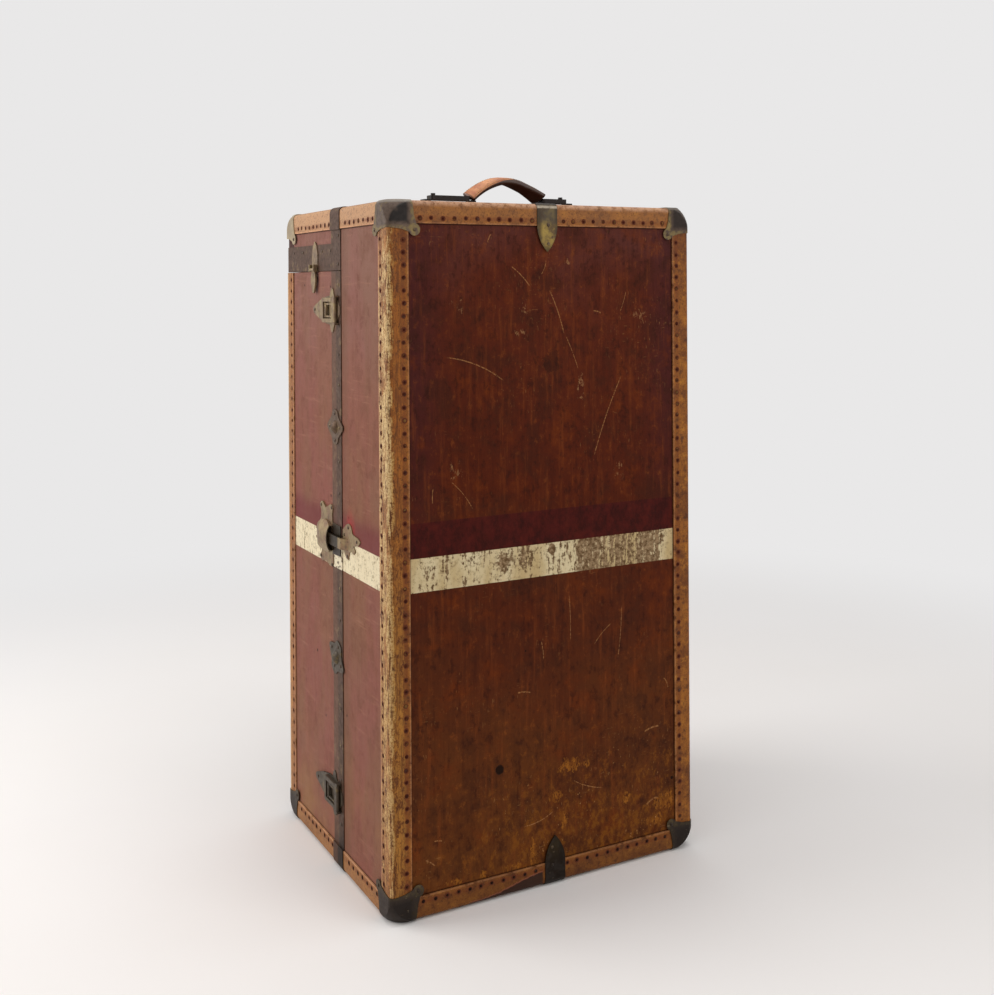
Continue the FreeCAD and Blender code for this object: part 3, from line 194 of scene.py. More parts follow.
# %% Noise, distances, and the start and end of a finish
def begin(name):
    """A new material, and the place on the piece in metres."""
    material = bpy.data.materials.new(name)
    material.use_nodes = True
    return material, Wire(material.node_tree.nodes.new("ShaderNodeTexCoord").outputs["Object"])


def finish(material, colour, roughness, relief=None, specular=None, metallic=None):
    """Plugs a finish into the shader; the relief is its height, strength and millimetres."""
    normal = None
    if relief:
        height, strength, distance = relief
        normal = height.node("Bump", {"Height": height, "Strength": strength,
                                      "Distance": distance * MM})
    shader = material.node_tree.nodes["Principled BSDF"]
    for name, value in (("Base Color", colour), ("Roughness", roughness), ("Normal", normal),
                        ("Specular IOR Level", specular), ("Metallic", metallic)):
        if value is not None:
            plug(shader.inputs[name], value)
    return material


def noise(place, scale, detail=3.0, roughness=0.5, stretch=None, shift=0.0):
    """Uneven value round 0.5. Marks are long where the stretch is a small number."""
    where = place
    if stretch or shift:
        where = place.node("Mapping", {"Vector": place, "Location": (shift,) * 3,
                                       "Scale": stretch or (1, 1, 1)})
    return where.node("TexNoise", {"Vector": where, "Scale": scale, "Detail": detail,
                                   "Roughness": roughness})


def axes(place):
    """The three coordinates of a place, in metres."""
    split = place.node("SeparateXYZ", {"Vector": place})
    return tuple(Wire(split.socket.node.outputs[i]) for i in range(3))


def depths(place, names):
    """How far in from the named planes a place lies, in millimetres."""
    along = axes(place)
    planes = [PLANES[name] for name in names.split()]
    return [(along[axis] - plane) * (-outward / MM) for axis, outward, plane in planes]


def nearest(place):
    """Distance to the nearer outer plane across, along the depth, and up."""
    left, right, front, rear, bottom, top = depths(place, "left right front rear bottom top")
    return left.least(right), front.least(rear), bottom.least(top)


def edge_distance(place):
    """Distance to the nearest edge of the box: the middle one of the three plane distances."""
    side, deep, tall = nearest(place)
    return side.least(deep).most(side.most(deep).least(tall))


print("patterns ready")

# %% [markdown]
# ## Painted canvas
# The box is covered with linen that was painted dark red-brown. The paint has gone purple at the
# top, browner and orange where it is rubbed near the floor, and pale on the left side, partly from
# fading and partly as a painted sheen of the light that falls on that side. A maroon and a cream
# band mark the owner's line; the cream flakes, most on the right of the front. Painted shade
# darkens the side beside the seam and the canvas in a thin line along the trim. Long scratches are
# arcs, because a passing corner swings. Each is the distance to a circle through its two ends,
# which a shader can work out without any image. All marks are given in millimetres across and up
# the face.


# %% Ovals and arcs on a face
def most_of(values):
    """The largest of several shader values."""
    largest = values[0]
    for value in values[1:]:
        largest = largest.most(value)
    return largest


def oval(across, up, middle, height, wide, tall):
    """0 in the middle of an oval, 1 on its rim, more outside; given by its half sizes."""
    dx = (across - middle) / wide
    dz = (up - height) / tall
    return dx * dx + dz * dz


def spots(across, up, marks, ragged=0.0):
    """1 inside any of the ovals; a ragged value makes their rims uneven."""
    return most_of([(oval(across, up, *mark) + ragged).fall(0.55, 1.1) for mark in marks])


def distance(across, up, x, z):
    """Distance on a face to a point."""
    dx = across - x
    dz = up - z
    return (dx * dx + dz * dz).math("SQRT")


def scratch(across, up, x0, z0, x1, z1, bow, width):
    """1 on a thin arc between two points, which swings out from the straight line by the bow."""
    length = math.hypot(x1 - x0, z1 - z0)
    run = ((x1 - x0) / length, (z1 - z0) / length)
    middle = ((x0 + x1) / 2, (z0 + z1) / 2)
    radius = (length * length / 4 + bow * bow) / (2 * bow)
    centre = (middle[0] + run[1] * (radius - bow), middle[1] - run[0] * (radius - bow))
    away = abs(distance(across, up, *centre) - abs(radius))
    span = distance(across, up, *middle)
    return away.fall(width * 0.4, width * 1.4) * span.fall(length * 0.42, length * 0.52)


# from (across, up) to (across, up), bow, width
SCRATCHES = [
    (102, 872, 203, 832, 7, 0.9), (291, 977, 318, 905, 2, 0.9), (322, 900, 345, 846, 1, 0.6),
    (219, 1016, 253, 984, 2, 0.8), (431, 830, 376, 699, -3, 0.8), (429, 440, 421, 352, 2, 0.7),
    (325, 470, 327, 395, 1, 0.6), (271, 401, 275, 372, 1, 0.7), (407, 412, 374, 382, -2, 0.7),
    (475, 217, 505, 222, 2, 1.4), (332, 161, 389, 138, -3, 0.8), (226, 324, 250, 321, 1, 1.2),
    (237, 105, 291, 118, -4, 0.8), (478, 90, 502, 99, 3, 1.3), (516, 303, 525, 285, 2, 0.9),
    (176, 1054, 182, 1068, 1, 1.0), (376, 942, 391, 938, 1, 1.2), (442, 974, 430, 940, 1, 0.5),
    (75, 116, 89, 114, 1, 1.0), (108, 676, 146, 630, 3, 0.6), (275, 1003, 284, 1026, -2, 0.6),
    (76, 644, 77, 668, 1, 0.7), (60, 90, 76, 78, 1, 0.9), (468, 944, 478, 918, 1, 0.5)]
# middle (across, up), half width, half height
SCUFFS = [(121, 954, 13, 16), (247, 950, 9, 13), (238, 908, 12, 9), (330, 1022, 12, 6),
          (470, 935, 14, 10), (118, 690, 12, 17), (352, 812, 10, 26), (425, 668, 9, 20)]
DARK_SPOT = (294, 858, 15, 24)
HOLES = [(192, 206, 8.5, 8.5), (532, 127, 3.2, 3.2), (241, 390, 1.6, 1.6)]
SIDE_HOLES = [(385, 988, 2, 2.5), (253, 985, 2, 2.5), (256, 626, 2.4, 3), (328, 342, 2.4, 3),
              (173, 601, 2, 2.5), (187, 269, 2, 2.5), (287, 239, 2, 2.5)]
RUSTS = [(312, 101, 6, 20), (253, 58, 6, 27), (162, 41, 9, 9), (520, 92, 26, 16),
         (430, 112, 14, 10), (330, 188, 30, 10), (215, 44, 16, 7), (495, 62, 20, 9),
         (296, 142, 12, 9), (110, 44, 14, 5)]
RUBBED = [(199, 540, 12, 19), (243, 541, 15, 23), (292, 551, 7, 12), (100, 540, 3, 26)]
SMEAR = (166, 584, 22, 34)
CREAM_LOW, CREAM_HIGH = 508, 561
MAROON_FRONT, MAROON_SIDE = 616, 600
WEAVE = 5200
print(len(SCRATCHES), "scratches,", len(SCUFFS), "scuffs,", len(RUSTS), "rusty places")


# %% The painted canvas
def bands(place, jitter):
    """Where the cream and the maroon band lie; the maroon one fades out on the left side."""
    left, front, up = depths(place, "left front floor")
    height = up + jitter
    cream = (height.rise(CREAM_LOW - 0.4, CREAM_LOW + 0.4)
             * height.fall(CREAM_HIGH - 0.4, CREAM_HIGH + 0.4))
    top = front.fall(4, 9) * (MAROON_FRONT - MAROON_SIDE) + MAROON_SIDE
    soft = left.fall(4, 9) * 16 + 1
    maroon = height.rise(CREAM_HIGH, CREAM_HIGH + 1) * ((height - top) / soft).fall(-1, 1)
    return cream, maroon


def make_canvas():
    material, place = begin("painted canvas")
    x, y, z = axes(place)
    left, right, front, up = depths(place, "left right front floor")
    on_front, on_left = front.fall(4, 9), left.fall(4, 9)
    broad = noise(place, 5, 4, 0.6)
    cloud = noise(place, 19, 6, 0.68, shift=3.1)
    mottle = noise(place, 75, 6, 0.75, stretch=(1, 1, 0.7), shift=8.3)
    streak = noise(place, 1, 5, 0.7, stretch=(120, 120, 9), shift=1.7)
    level = noise(place, 1, 4, 0.7, stretch=(11, 11, 150), shift=6.6)
    fine = noise(place, 420, 3, 0.7)

    height = z / TOP + (broad - 0.5) * 0.45 + (cloud - 0.5) * 0.25
    base = height.node("ValToRGB", {"Fac": height})
    ramp = base.socket.node.color_ramp.elements
    stops = ((0.0, "643817"), (0.15, "5a2f13"), (0.34, "4f2410"), (0.58, "4c1c0b"),
             (0.86, "512011"), (1.0, "542a23"))
    while len(ramp) < len(stops):
        ramp.new(0.5)
    for element, (position, code) in zip(ramp, stops):
        element.position = position
        element.color = paint(code)
    margin = left.least(right).fall(38, 120) * on_front
    base = coats(
        base,
        (margin * up.rise(350, 900) * 0.6, "3d1c20"),
        (cloud.fall(0.36, 0.52) * 0.5, "371a0f"),
        (cloud.rise(0.52, 0.7) * 0.45, "6d300d"),
        (streak.rise(0.5, 0.72) * 0.4, "7a3c18"),
        (streak.fall(0.3, 0.46) * 0.45, "341109"),
        (mottle.fall(0.34, 0.48) * 0.6, "2d1109"),
        (mottle.rise(0.55, 0.72) * 0.38, "86461c"))

    # the left side is paler: partly faded paint and partly a painted sheen of the light that falls
    # on that side; painted shade darkens it beside the raised seam binding
    drift = noise(place, 1, 3, 0.55, stretch=(14, 14, 4), shift=12.3)
    faded_and_lit = coats(
        tint(drift.rise(0.35, 0.65), "89554a", "845b47"),
        (broad.rise(0.48, 0.62) * 0.3, "8a5b42"),
        (up.rise(700, 1050) * 0.4, "8f6d64"),
        (cloud.rise(0.5, 0.66) * 0.35, "6c4a3a"),
        (streak.rise(0.48, 0.64) * 0.25, "6b4232"),
        (mottle.fall(0.34, 0.48) * 0.4, "683a2c"),
        (level.rise(0.56, 0.7) * 0.3, "ab7c66"),
        (up.fall(30, 260) * broad.rise(0.4, 0.65) * 0.6, "9c7750"),
        # painted shade beside the seam binding
        (abs(front - SEAM_DEPTH).fall(12, 40) * 0.3, "6a5040"))
    base = tint(on_left * 0.9, base, faded_and_lit)

    # rubbed places near the floor, rusty and scuffed ones, and short scratches everywhere
    low = up.fall(20, 340) * (1 - on_left) * (0.4 + left.rise(60, 300) * 0.65)
    dust = noise(place, 210, 3, 0.6, stretch=(1, 1, 0.6), shift=9.4)
    ragged = (mottle - 0.5) * 8 + (dust - 0.5) * 6 + (streak - 0.5) * 5
    rust = spots(left, up, RUSTS, ragged) * on_front * dust.rise(0.38, 0.58)
    scuff = spots(left, up, SCUFFS, ragged) * on_front * dust.rise(0.5, 0.6)
    ghost = spots(left, up, [DARK_SPOT], (mottle - 0.5) * 3) * on_front
    short_up = noise(place, 1, 2, 0.5, stretch=(480, 480, 75), shift=2.6).rise(0.68, 0.74)
    short_level = noise(place, 1, 2, 0.5, stretch=(75, 75, 480), shift=5.8).rise(0.68, 0.74)
    area = noise(place, 9, 4, 0.65, shift=11.1).rise(0.5, 0.62) * 0.95 + 0.06 + low * 0.25
    fleck = dust.rise(0.66, 0.72) * (0.22 + low * 0.7)
    fleck = fleck.most(short_up * 0.4).most(short_level * 0.24) * area
    base = coats(
        base,
        ((mottle + low * 0.1).rise(0.56, 0.72) * low * 0.55, "865016"),
        (rust * 0.75, tint(fine, "8c4a0e", "b0742c")),
        (scuff * 0.4, "b98a5c"),
        (ghost * 0.4, "23100b"),
        (fleck * (1 - on_left * 0.65) * 0.75, "b3824e"))

    # the owner's bands; the cream keeps to the canvas only in patches; on the left side the bands
    # and the canvas under the cream are painted paler, partly faded and partly a painted sheen of
    # the light on that side
    cream, maroon = bands(place, (fine - 0.5) * 1.2)
    stroke = noise(place, 1, 5, 0.75, stretch=(170, 170, 30), shift=2.2)
    crumb = noise(place, 150, 6, 0.8, shift=7.1)
    patch = noise(place, 21, 3, 0.6, stretch=(1, 1, 0.35), shift=7.7)
    lost = left.rise(330, 352) * left.fall(500, 530) * 0.1
    rubbed = spots(left, up, RUBBED, (crumb - 0.5) * 5)
    keep = stroke * 0.6 + crumb * 0.4 + (patch - 0.5) * 0.22 - (lost + rubbed * 0.12) * on_front
    keep = (keep + on_left * 0.018).rise(0.425, 0.465)
    under = coats(tint(crumb.rise(0.38, 0.62), "5b432b", "9c8262"), (on_left * 0.6, "9a8b6e"))
    cream_tone = coats(
        tint(patch.rise(0.35, 0.65), "d6c6a0", "bca477"),
        (on_left * 0.75, "e9dcbd"),
        (crumb.fall(0.38, 0.5) * 0.55, "8e7650"))
    base = coats(
        base,
        (maroon * (0.88 - on_left * 0.5), tint(mottle.rise(0.35, 0.65), "33100e", "4a1613")),
        (maroon * on_left * 0.55, "76383c"),
        (cream, under),
        (cream * keep, cream_tone))

    # long scratches, holes, a red smear on the side, and a painted shade in a thin line beside the
    # raised trim
    breaks = noise(place, 290, 4, 0.8, shift=4.4)
    marks = most_of([scratch(left, up, *line) for line in SCRATCHES])
    marks = marks * on_front * breaks.rise(0.4, 0.56)
    holes = spots(left, up, HOLES, (breaks - 0.5) * 1.2) * on_front
    holes = holes.most(spots(front, up, SIDE_HOLES) * on_left)
    smear = (oval(front, up, *SMEAR) + (mottle - 0.5) * 2).fall(-0.6, 1.4) * on_left
    base = coats(
        base,
        (marks * 0.66, "b07c4c"),
        (holes * 0.92, "140a06"),
        (smear * 0.5, "b5383a"),
        # painted shade along the edge of the trim
        (edge_distance(place).fall(TRIM + 0.6, TRIM + 3) * 0.75, "1e0d09"))

    weave = ((x + y) * WEAVE).math("SINE") * (z * WEAVE).math("SINE")
    relief = (weave * 0.22 + streak * 0.5 + mottle * 0.5 + fine * 0.35 - marks * 0.8 - holes * 3
              + cream * keep * 0.7)
    roughness = 0.52 + (cloud - 0.5) * 0.3 + fleck * 0.2 + cream * 0.15
    return finish(material, base, roughness, (relief, 0.55, 0.4), specular=0.05)


canvas = make_canvas()
print(canvas.name, len(canvas.node_tree.nodes), "nodes")

# %% [markdown]
# ## Vulcanised fibre trim
# The edges are bound with strips of hard fibre, pressed to an angle over the corner. They are
# ochre, blotched dark by grease, and rubbed to pale threads along the ridge, most on the corner
# that meets every door frame. On the left side the strips are painted lighter for the light that
# falls there, and painted highlights run along the rounded left edges. Wear needs the distance to
# the edge, which the planes give.


# %% The fibre trim
def make_fibre():
    material, place = begin("fibre trim")
    left, front, rear, bottom, top, up = depths(place, "left front rear bottom top floor")
    ridge = edge_distance(place)
    on_left, on_front = left.fall(2, 7), front.fall(2, 7)
    upright = bottom.least(top).rise(30, 50)
    near = upright * left.fall(40, 60) * front.fall(40, 60)
    golden = near * left.fall(21, 31) * (1 - on_left)
    fresh = up.rise(300, 750)
    blotch = noise(place, 13, 6, 0.7)
    mottle = noise(place, 62, 6, 0.78, shift=2.0)
    grit = noise(place, 300, 4, 0.8, shift=1.1)
    speck = noise(place, 170, 5, 0.8, stretch=(1, 1, 0.42), shift=5.5)
    along_up = noise(place, 1, 5, 0.75, stretch=(330, 330, 26), shift=3.0)
    along_flat = noise(place, 1, 5, 0.75, stretch=(30, 30, 330), shift=6.0)
    thread = along_up * upright + along_flat * (1 - upright)
    base = coats(
        tint(blotch.rise(0.38, 0.6), "6b3a12", "90561b"),
        (mottle.rise(0.5, 0.66) * 0.75, "ad7026"),
        (mottle.fall(0.36, 0.49) * 0.8, "4a240c"),
        (top.fall(20, 45) * 0.4, "98683f"),
        (bottom.fall(20, 50) * 0.45, "4d290e"),
        # painted light: on the left side the trim is a lighter copy of its colour, most near the
        # top
        (on_left * (blotch + 0.05), "b07c4c"),
        (on_left * top.fall(20, 50) * 0.55, "cba27e"),
        (grit.fall(0.38, 0.47) * 0.6, "3c1d0b"),
        (golden * speck.rise(0.42, 0.56) * 0.75, tint(fresh, "a8742f", "97571d")),
        (golden * speck.fall(0.4, 0.49) * 0.8, "52290c"),
        (golden * (thread * 0.6 + speck * 0.4).rise(0.49, 0.57) * 0.66, "4f260b"))

    # the ridge is rubbed through to pale threads, most on the near corner; on the near corner's
    # rounded left edge they are lighter still, a painted highlight
    worn = ridge.fall(2, 10) * 0.16 + near * left.fall(3, 17) * 0.34
    grain = thread * 0.62 + grit * 0.2 + mottle * 0.18
    patchy = noise(place, 1, 4, 0.7, stretch=(42, 42, 11), shift=8.8)
    pale = (grain + worn * 0.33 + (patchy - 0.5) * 0.7).rise(0.58, 0.66) * worn.rise(0.05, 0.3)
    # painted highlight on the rounded left edge of the near corner
    bright = left.fall(1, 9).least(near) * grit.rise(0.35, 0.55) * (0.5 + fresh * 0.3)
    gold = coats(tint(grit.rise(0.4, 0.6), "9f6f35", "c59b58"), (bright, "e0c796"))
    # a pale line on the top ridge, partly wear and partly painted highlight; a painted highlight on
    # the rounded rear left corner
    top_ridge = top.fall(3, 11) * front.fall(6, 12)
    far_corner_highlight = left.fall(2, 9) * rear.fall(4, 15)
    # rust creeps along the row of nails, and the cut inner edge beside it is pale, paler on the
    # left side as painted light
    row = abs(ridge - NAIL_ROW).fall(1, 6.5)
    cut = ridge.rise(TRIM - 3, TRIM - 1.4)
    base = coats(
        base,
        (pale * (0.7 + fresh * 0.18), gold),
        (grain.fall(0.43, 0.5) * worn.rise(0.1, 0.3) * 0.85, "4a240b"),
        (top_ridge * mottle.rise(0.36, 0.56) * 0.6, "cfa588"),
        (far_corner_highlight * thread.rise(0.35, 0.5) * 0.6, "ecd6b0"),
        (row * mottle.rise(0.4, 0.58) * 0.6, "662a0d"),
        (cut * mottle.rise(0.38, 0.52) * (0.2 + on_left * 0.5), "c99470"))

    # the bottom strip is torn away below a rising line, left of its clip
    tear = left.rise(150, 275) * 19 + (mottle - 0.5) * 9 + 5 - bottom
    reach = left.rise(132, 150) * left.fall(268, 272) * on_front
    torn = tear.rise(-0.4, 0.4) * reach
    base = coats(
        base,
        (torn, tint(thread, "1c0e08", "41220f")),
        (abs(tear).fall(0.6, 1.8) * reach * 0.6, "94543a"))
    relief = thread * 0.6 + mottle * 0.6 + grit * 0.35 - torn * 1.5
    return finish(material, base, 0.44 + mottle * 0.2 + pale * 0.2, (relief, 0.65, 0.7),
                  specular=0.2)


fibre = make_fibre()
print(fibre.name, len(fibre.node_tree.nodes), "nodes")

# %% [markdown]
# ## Old metal
# The fittings are brass and brassed steel. Handling leaves bare patches, damp leaves a brown skin,
# and what is near the floor is almost black. One recipe with a few choices serves all of them:
# the skin's colour, the bare metal's colour, and how much of it is bare.


# %% Metal with a skin
def make_metal(name, skin, bare, bare_share, gloss=0.42, extra=None, shine=1.0, banded=False):
    """Metal whose skin is worn through in patches; the share is how much of it is bare."""
    material, place = begin(name)
    blotch = noise(place, 38, 5, 0.65)
    grime = noise(place, 160, 4, 0.6, shift=2.4)
    hair = noise(place, 1, 3, 0.6, stretch=(90, 90, 900), shift=4.1)
    clean = (blotch * 0.7 + grime * 0.3).rise(0.66 - bare_share * 0.4, 0.78 - bare_share * 0.4)
    skin_tone = coats(
        tint(grime.rise(0.4, 0.7) * 0.6, skin, "2b1f17"),
        (blotch.fall(0.3, 0.45) * 0.4, "6a5a4e"))
    base = tint(clean, skin_tone, tint(grime, bare, "6a5836"))
    if extra:
        base = extra(base, place, blotch, grime)
    low = depths(place, "bottom")[0].fall(30, 92)
    base = coats(
        base,
        (low * 0.86, "1b110a"),
        (low * (grime * 0.6 + hair * 0.4).rise(0.6, 0.68) * 0.55, "8b7a66"))
    metallic = (0.35 + clean * 0.5) * shine
    if banded:
        past_seam, under_lid = depths(place, "seam lid_seam")
        cream, maroon = bands(place, (grime - 0.5) * 2)
        flake = (grime + blotch * 0.3).rise(0.68, 0.76)
        base = coats(
            base,
            (abs(past_seam).rise(20, 28) * under_lid.rise(0, 5) * 0.3, "7c5541"),
            (cream * (1 - flake * 0.85), "ddd0b2"),
            (maroon * 0.3, "4a2426"))
        metallic = metallic * (1 - cream * 0.8)
    roughness = gloss + (grime - 0.5) * 0.35 + (1 - clean) * 0.1
    relief = blotch * 0.6 + grime * 0.4 + hair * 0.15
    return finish(material, base, roughness, (relief, 0.45, 0.6), 0.35 * shine, metallic)


def cap_marks(base, place, blotch, grime):
    """Caps: painted shade in the hollow of the front face, a painted highlight on the top face,
    painted shade on the caps at the right, brassy rims, and painted light on the cap at the rear
    top left, which faces the key lamp.
    """
    left, right, front, rear, top = depths(place, "left right front rear top")
    side, deep, tall = nearest(place)
    rim = side.most(deep).most(tall)
    lit = top.fall(50, 70) * rear.fall(50, 70) * left.fall(55, 75)
    # painted shade on the front hollow and on the right caps, a painted highlight on top, painted
    # light at the rear top left
    return coats(
        base,
        (front.fall(-1, 2) * rim.rise(9, 20) * rim.fall(31, 38) * 0.93, "100b09"),
        (top.fall(1, 5) * 0.5, "a39b90"),
        (right.fall(55, 70) * 0.5, "2a1b12"),
        (rim.rise(37, 43) * grime.rise(0.35, 0.6) * 0.65, "857247"),
        (lit * (blotch + 0.05), "b3a284"))


def clip_marks(base, place, blotch, grime):
    """Clips: a dull fold, a brassy tongue, dark along both sides, a painted highlight line just
    inside the tip, and a dark line at the tip itself.
    """
    from_middle, up = depths(place, "middle floor")
    tip = nearest(place)[2]
    edge = abs(from_middle).rise(9, 17).most(tip.rise(60, 76))
    return coats(
        base,
        (tip.fall(22, 40) * 0.75, "443c31"),
        (edge * 0.8, "33271a"),
        # painted highlight: a pale line 5 mm in from the tip
        (abs(tip - 5).fall(1, 3) * 0.6, "b3a896"),
        (tip.fall(0.5, 2.5) * 0.8, "1c1511"),
        (up.fall(100, 300) * 0.85, "1f170e"),
        ((grime * 0.5 + blotch * 0.5).fall(0.4, 0.48) * 0.7, "3b2b18"))


def lock_marks(base, place, blotch, grime):
    """Painted shade fills the gap between lever and strike; grime darkens the rest in patches."""
    past_seam, up = depths(place, "seam floor")
    gap_shade = past_seam.rise(-3, 3) * past_seam.fall(39, 45) * abs(up - LOCK_HEIGHT).fall(24, 31)
    return coats(base, (gap_shade * 0.9, "17100b"), (grime.fall(0.3, 0.44) * 0.5, "33261b"))


LOCK_HEIGHT = sum(corner.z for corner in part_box("lock_lever")) / 2 / MM
corner_metal = make_metal("corner cap brass", "56463b", "7d6a44", 0.3, extra=cap_marks, shine=0.7)
clip_metal = make_metal("clip brass", "5a462a", "8c7637", 0.52, extra=clip_marks, shine=0.8)
lock_metal = make_metal("lock brass", "86694d", "b59f78", 0.55, extra=lock_marks)
fitting_metal = make_metal("latch brass", "7d664e", "b09c76", 0.5)
plate_metal = make_metal("seam plate brass", "5c4531", "87704f", 0.38)
dark_fitting = make_metal("dull lower fitting", "473d30", "6e6248", 0.35)
binding_metal = make_metal("seam binding steel", "50392c", "735847", 0.35, 0.5, shine=0.6,
                           banded=True)
rivet_metal = make_metal("rivet", "4c3c30", "8a7658", 0.4, 0.36, shine=0.8)
nail_metal = make_metal("trim nail", "3c160a", "7a4418", 0.35, 0.5, shine=0.15)
hinge_metal = make_metal("hinge steel", "4d443b", "7f7567", 0.35, 0.42, shine=0.8)
plain_steel = make_metal("inner steel", "8c8982", "aaa79f", 0.5, 0.34)
handle_metal = make_metal("handle bar", "1c1512", "3a2e26", 0.2, 0.45)
print("twelve metals")

# %% [markdown]
# ## Wood, lining, drawers and leather
# When the trunk is open its inside shows: plywood edges, a pale lining cloth, drawers covered with
# dark cloth, varnished hangers. They get the same care as the outside, since the doors move.
# Grain is noise drawn out along the board; cloth is two sets of threads.


# %% Wood, cloth, leather and thread
def make_wood(name, light, dark, stretch, gloss=0.45):
    material, place = begin(name)
    grain = noise(place, 1, 5, 0.6, stretch=stretch)
    pore = noise(place, 1, 3, 0.7, stretch=tuple(s * 4 for s in stretch), shift=2.0)
    cloud = noise(place, 7, 3)
    base = coats(
        tint(grain.rise(0.32, 0.68), light, dark),
        (pore.rise(0.6, 0.72) * 0.5, "4a2f18"),
        (cloud.rise(0.45, 0.8) * 0.25, "7a5634"))
    return finish(material, base, gloss + (grain - 0.5) * 0.25,
                  (grain * 0.6 + pore * 0.4, 0.3, 0.3))


def make_cloth(name, ground, thread_tone, stripe_tone, pitch, stripe_pitch):
    """Woven cloth with a fine stripe; both pitches are in millimetres."""
    material, place = begin(name)
    x, y, z = axes(place)
    facing = Wire(place.socket.node.outputs["Normal"])
    level = abs(axes(facing)[2]).rise(0.4, 0.6)
    turn = 2 * math.pi / MM
    side = x + y * (1 - level)
    weft = z + y * level
    weave = (side * (turn / pitch)).math("SINE") * (weft * (turn / pitch)).math("SINE")
    stripe = (side * (turn / stripe_pitch)).math("SINE").rise(0.82, 0.92)
    cloud = noise(place, 9, 4, 0.6)
    slub = noise(place, 1, 3, 0.6, stretch=(700, 700, 60), shift=3.3)
    base = coats(
        tint(slub.rise(0.35, 0.7) * 0.5, ground, thread_tone),
        (stripe * 0.65, stripe_tone),
        (cloud.rise(0.5, 0.8) * 0.3, thread_tone),
        (weave.rise(0.1, 0.9) * 0.12, "3c3226"))
    return finish(material, base, 0.82 + (slub - 0.5) * 0.2,
                  (weave * 0.5 + slub * 0.6, 0.45, 0.3))


def make_leather():
    """Orange-tan strap leather with darker creases; painted shade, read from the shade attribute,
    darkens its underside, its right half and its ends.
    """
    material, place = begin("handle leather")
    pore = place.node("TexVoronoi", {"Vector": place, "Scale": 900.0}, feature="SMOOTH_F1")
    crease = noise(place, 1, 5, 0.7, stretch=(60, 240, 240))
    cloud = noise(place, 45, 5, 0.65, shift=1.3)
    shade = place.node("Attribute", attribute_name="shade", out=2)
    base = coats(
        tint(cloud.rise(0.35, 0.65), "a65c2e", "cf8c58"),
        (crease.fall(0.32, 0.46) * 0.6, "6a3216"),
        ((shade + (cloud - 0.5) * 0.5).rise(0.25, 0.75) * 0.93, "1f0e08"))
    return finish(material, base, 0.46 + (cloud - 0.5) * 0.3,
                  (pore * 0.5 + crease * 0.5, 0.4, 0.35))


def make_plain(name, dark, light, pattern, roughness, specular=None):
    """A finish that only wavers between two tones."""
    material, place = begin(name)
    waver = noise(place, *pattern)
    return finish(material, tint(waver, dark, light), roughness + waver * 0.2, specular=specular)


stain = make_plain("nail stain", "3c170b", "6b3214", (600, 3, 0.7), 0.6, specular=0.2)
thread = make_plain("linen thread", "8a6a44", "c4a67a", (1500, 2, 0.5), 0.7)
plywood = make_wood("plywood", "c19b6c", "9a7142", (90, 90, 9))
hanger_wood = make_wood("hanger wood", "b07a42", "7d4f26", (14, 160, 160), 0.3)
edging_fibre = make_wood("drawer edging", "8a5a2e", "5f3a1b", (70, 160, 160), 0.5)
lining = make_cloth("lining cloth", "cbbd9f", "b39f80", "8a5f4a", 1.1, 14)
drawer_cloth = make_cloth("drawer cloth", "6b4430", "7c543c", "482c20", 1.3, 7)
leather = make_leather()
print("wood, cloth and leather ready")

# %% [markdown]
# ## Dress the frame
# A node from the frame keeps its shape and only changes its material slots. The table names the
# finish of each piece of the real trunk, and the line that it prints shows any piece left over.

# %% Finish for each node
DRAWERS = range(1, 6)
FINISHES = {
    canvas: ["front_cover", "rear_cover", "lid_cover"],
    fibre: ["front_trim", "rear_trim", "lid_trim"],
    corner_metal: ["front_corner_caps", "rear_corner_caps", "lid_corner_caps"],
    clip_metal: ["top_clip", "bottom_clip"],
    lock_metal: ["strike_plate", "lock_base", "lock_lever"],
    fitting_metal: ["upper_latch_base", "upper_latch_lever", "upper_latch_bail", "clasp_plates",
                    "left_clasp", "right_clasp"] + ["drawer_pull_" + str(n) for n in DRAWERS],
    plate_metal: ["upper_seam_plate"],
    dark_fitting: ["lower_latch_base", "lower_seam_plate", "lower_latch_lever",
                   "lower_latch_bail"],
    binding_metal: ["rear_binding", "lid_binding", "lid_band"],
    handle_metal: ["handle_ends"],
    hinge_metal: ["front_hinge_leaves", "rear_hinge_leaves", "case_hinge_leaves",
                  "lid_hinge_leaves", "hinge_pins"],
    plain_steel: ["front_valance", "side_channels", "drawer_runners", "carriage"],
    plywood: ["front_shell", "rear_shell", "lid_shell"],
    lining: ["front_lining", "rear_lining", "lid_lining", "hat_shelf"],
    hanger_wood: ["hanger_1", "hanger_2", "hanger_3", "hanger_4"],
    drawer_cloth: ["drawer_" + str(n) for n in DRAWERS],
    leather: ["handle_grip"],
}
for material, names in FINISHES.items():
    for node in (nodes[name] for name in names):
        if not node.material_slots:
            node.data.materials.append(material)
        for material_slot in node.material_slots:
            material_slot.material = material
dressed = {name for names in FINISHES.values() for name in names}
print("dressed", len(dressed), "nodes; left over:", sorted(set(nodes) - dressed))

# %% [markdown]
# ## Nails and rivets with Geometry Nodes
# Hundreds of nail heads are one small shape on many points. The points are placed first, each
# with the direction that it faces, and a node tree puts a head on each, a little uneven in size
# and tilt as hand-driven nails are. A single mesh per body comes out, which moves with its body.


# %% The tree that puts heads on points
# a head is a ball of radius 1 whose underside is pushed up to this height
FLAT_BELOW = -0.25


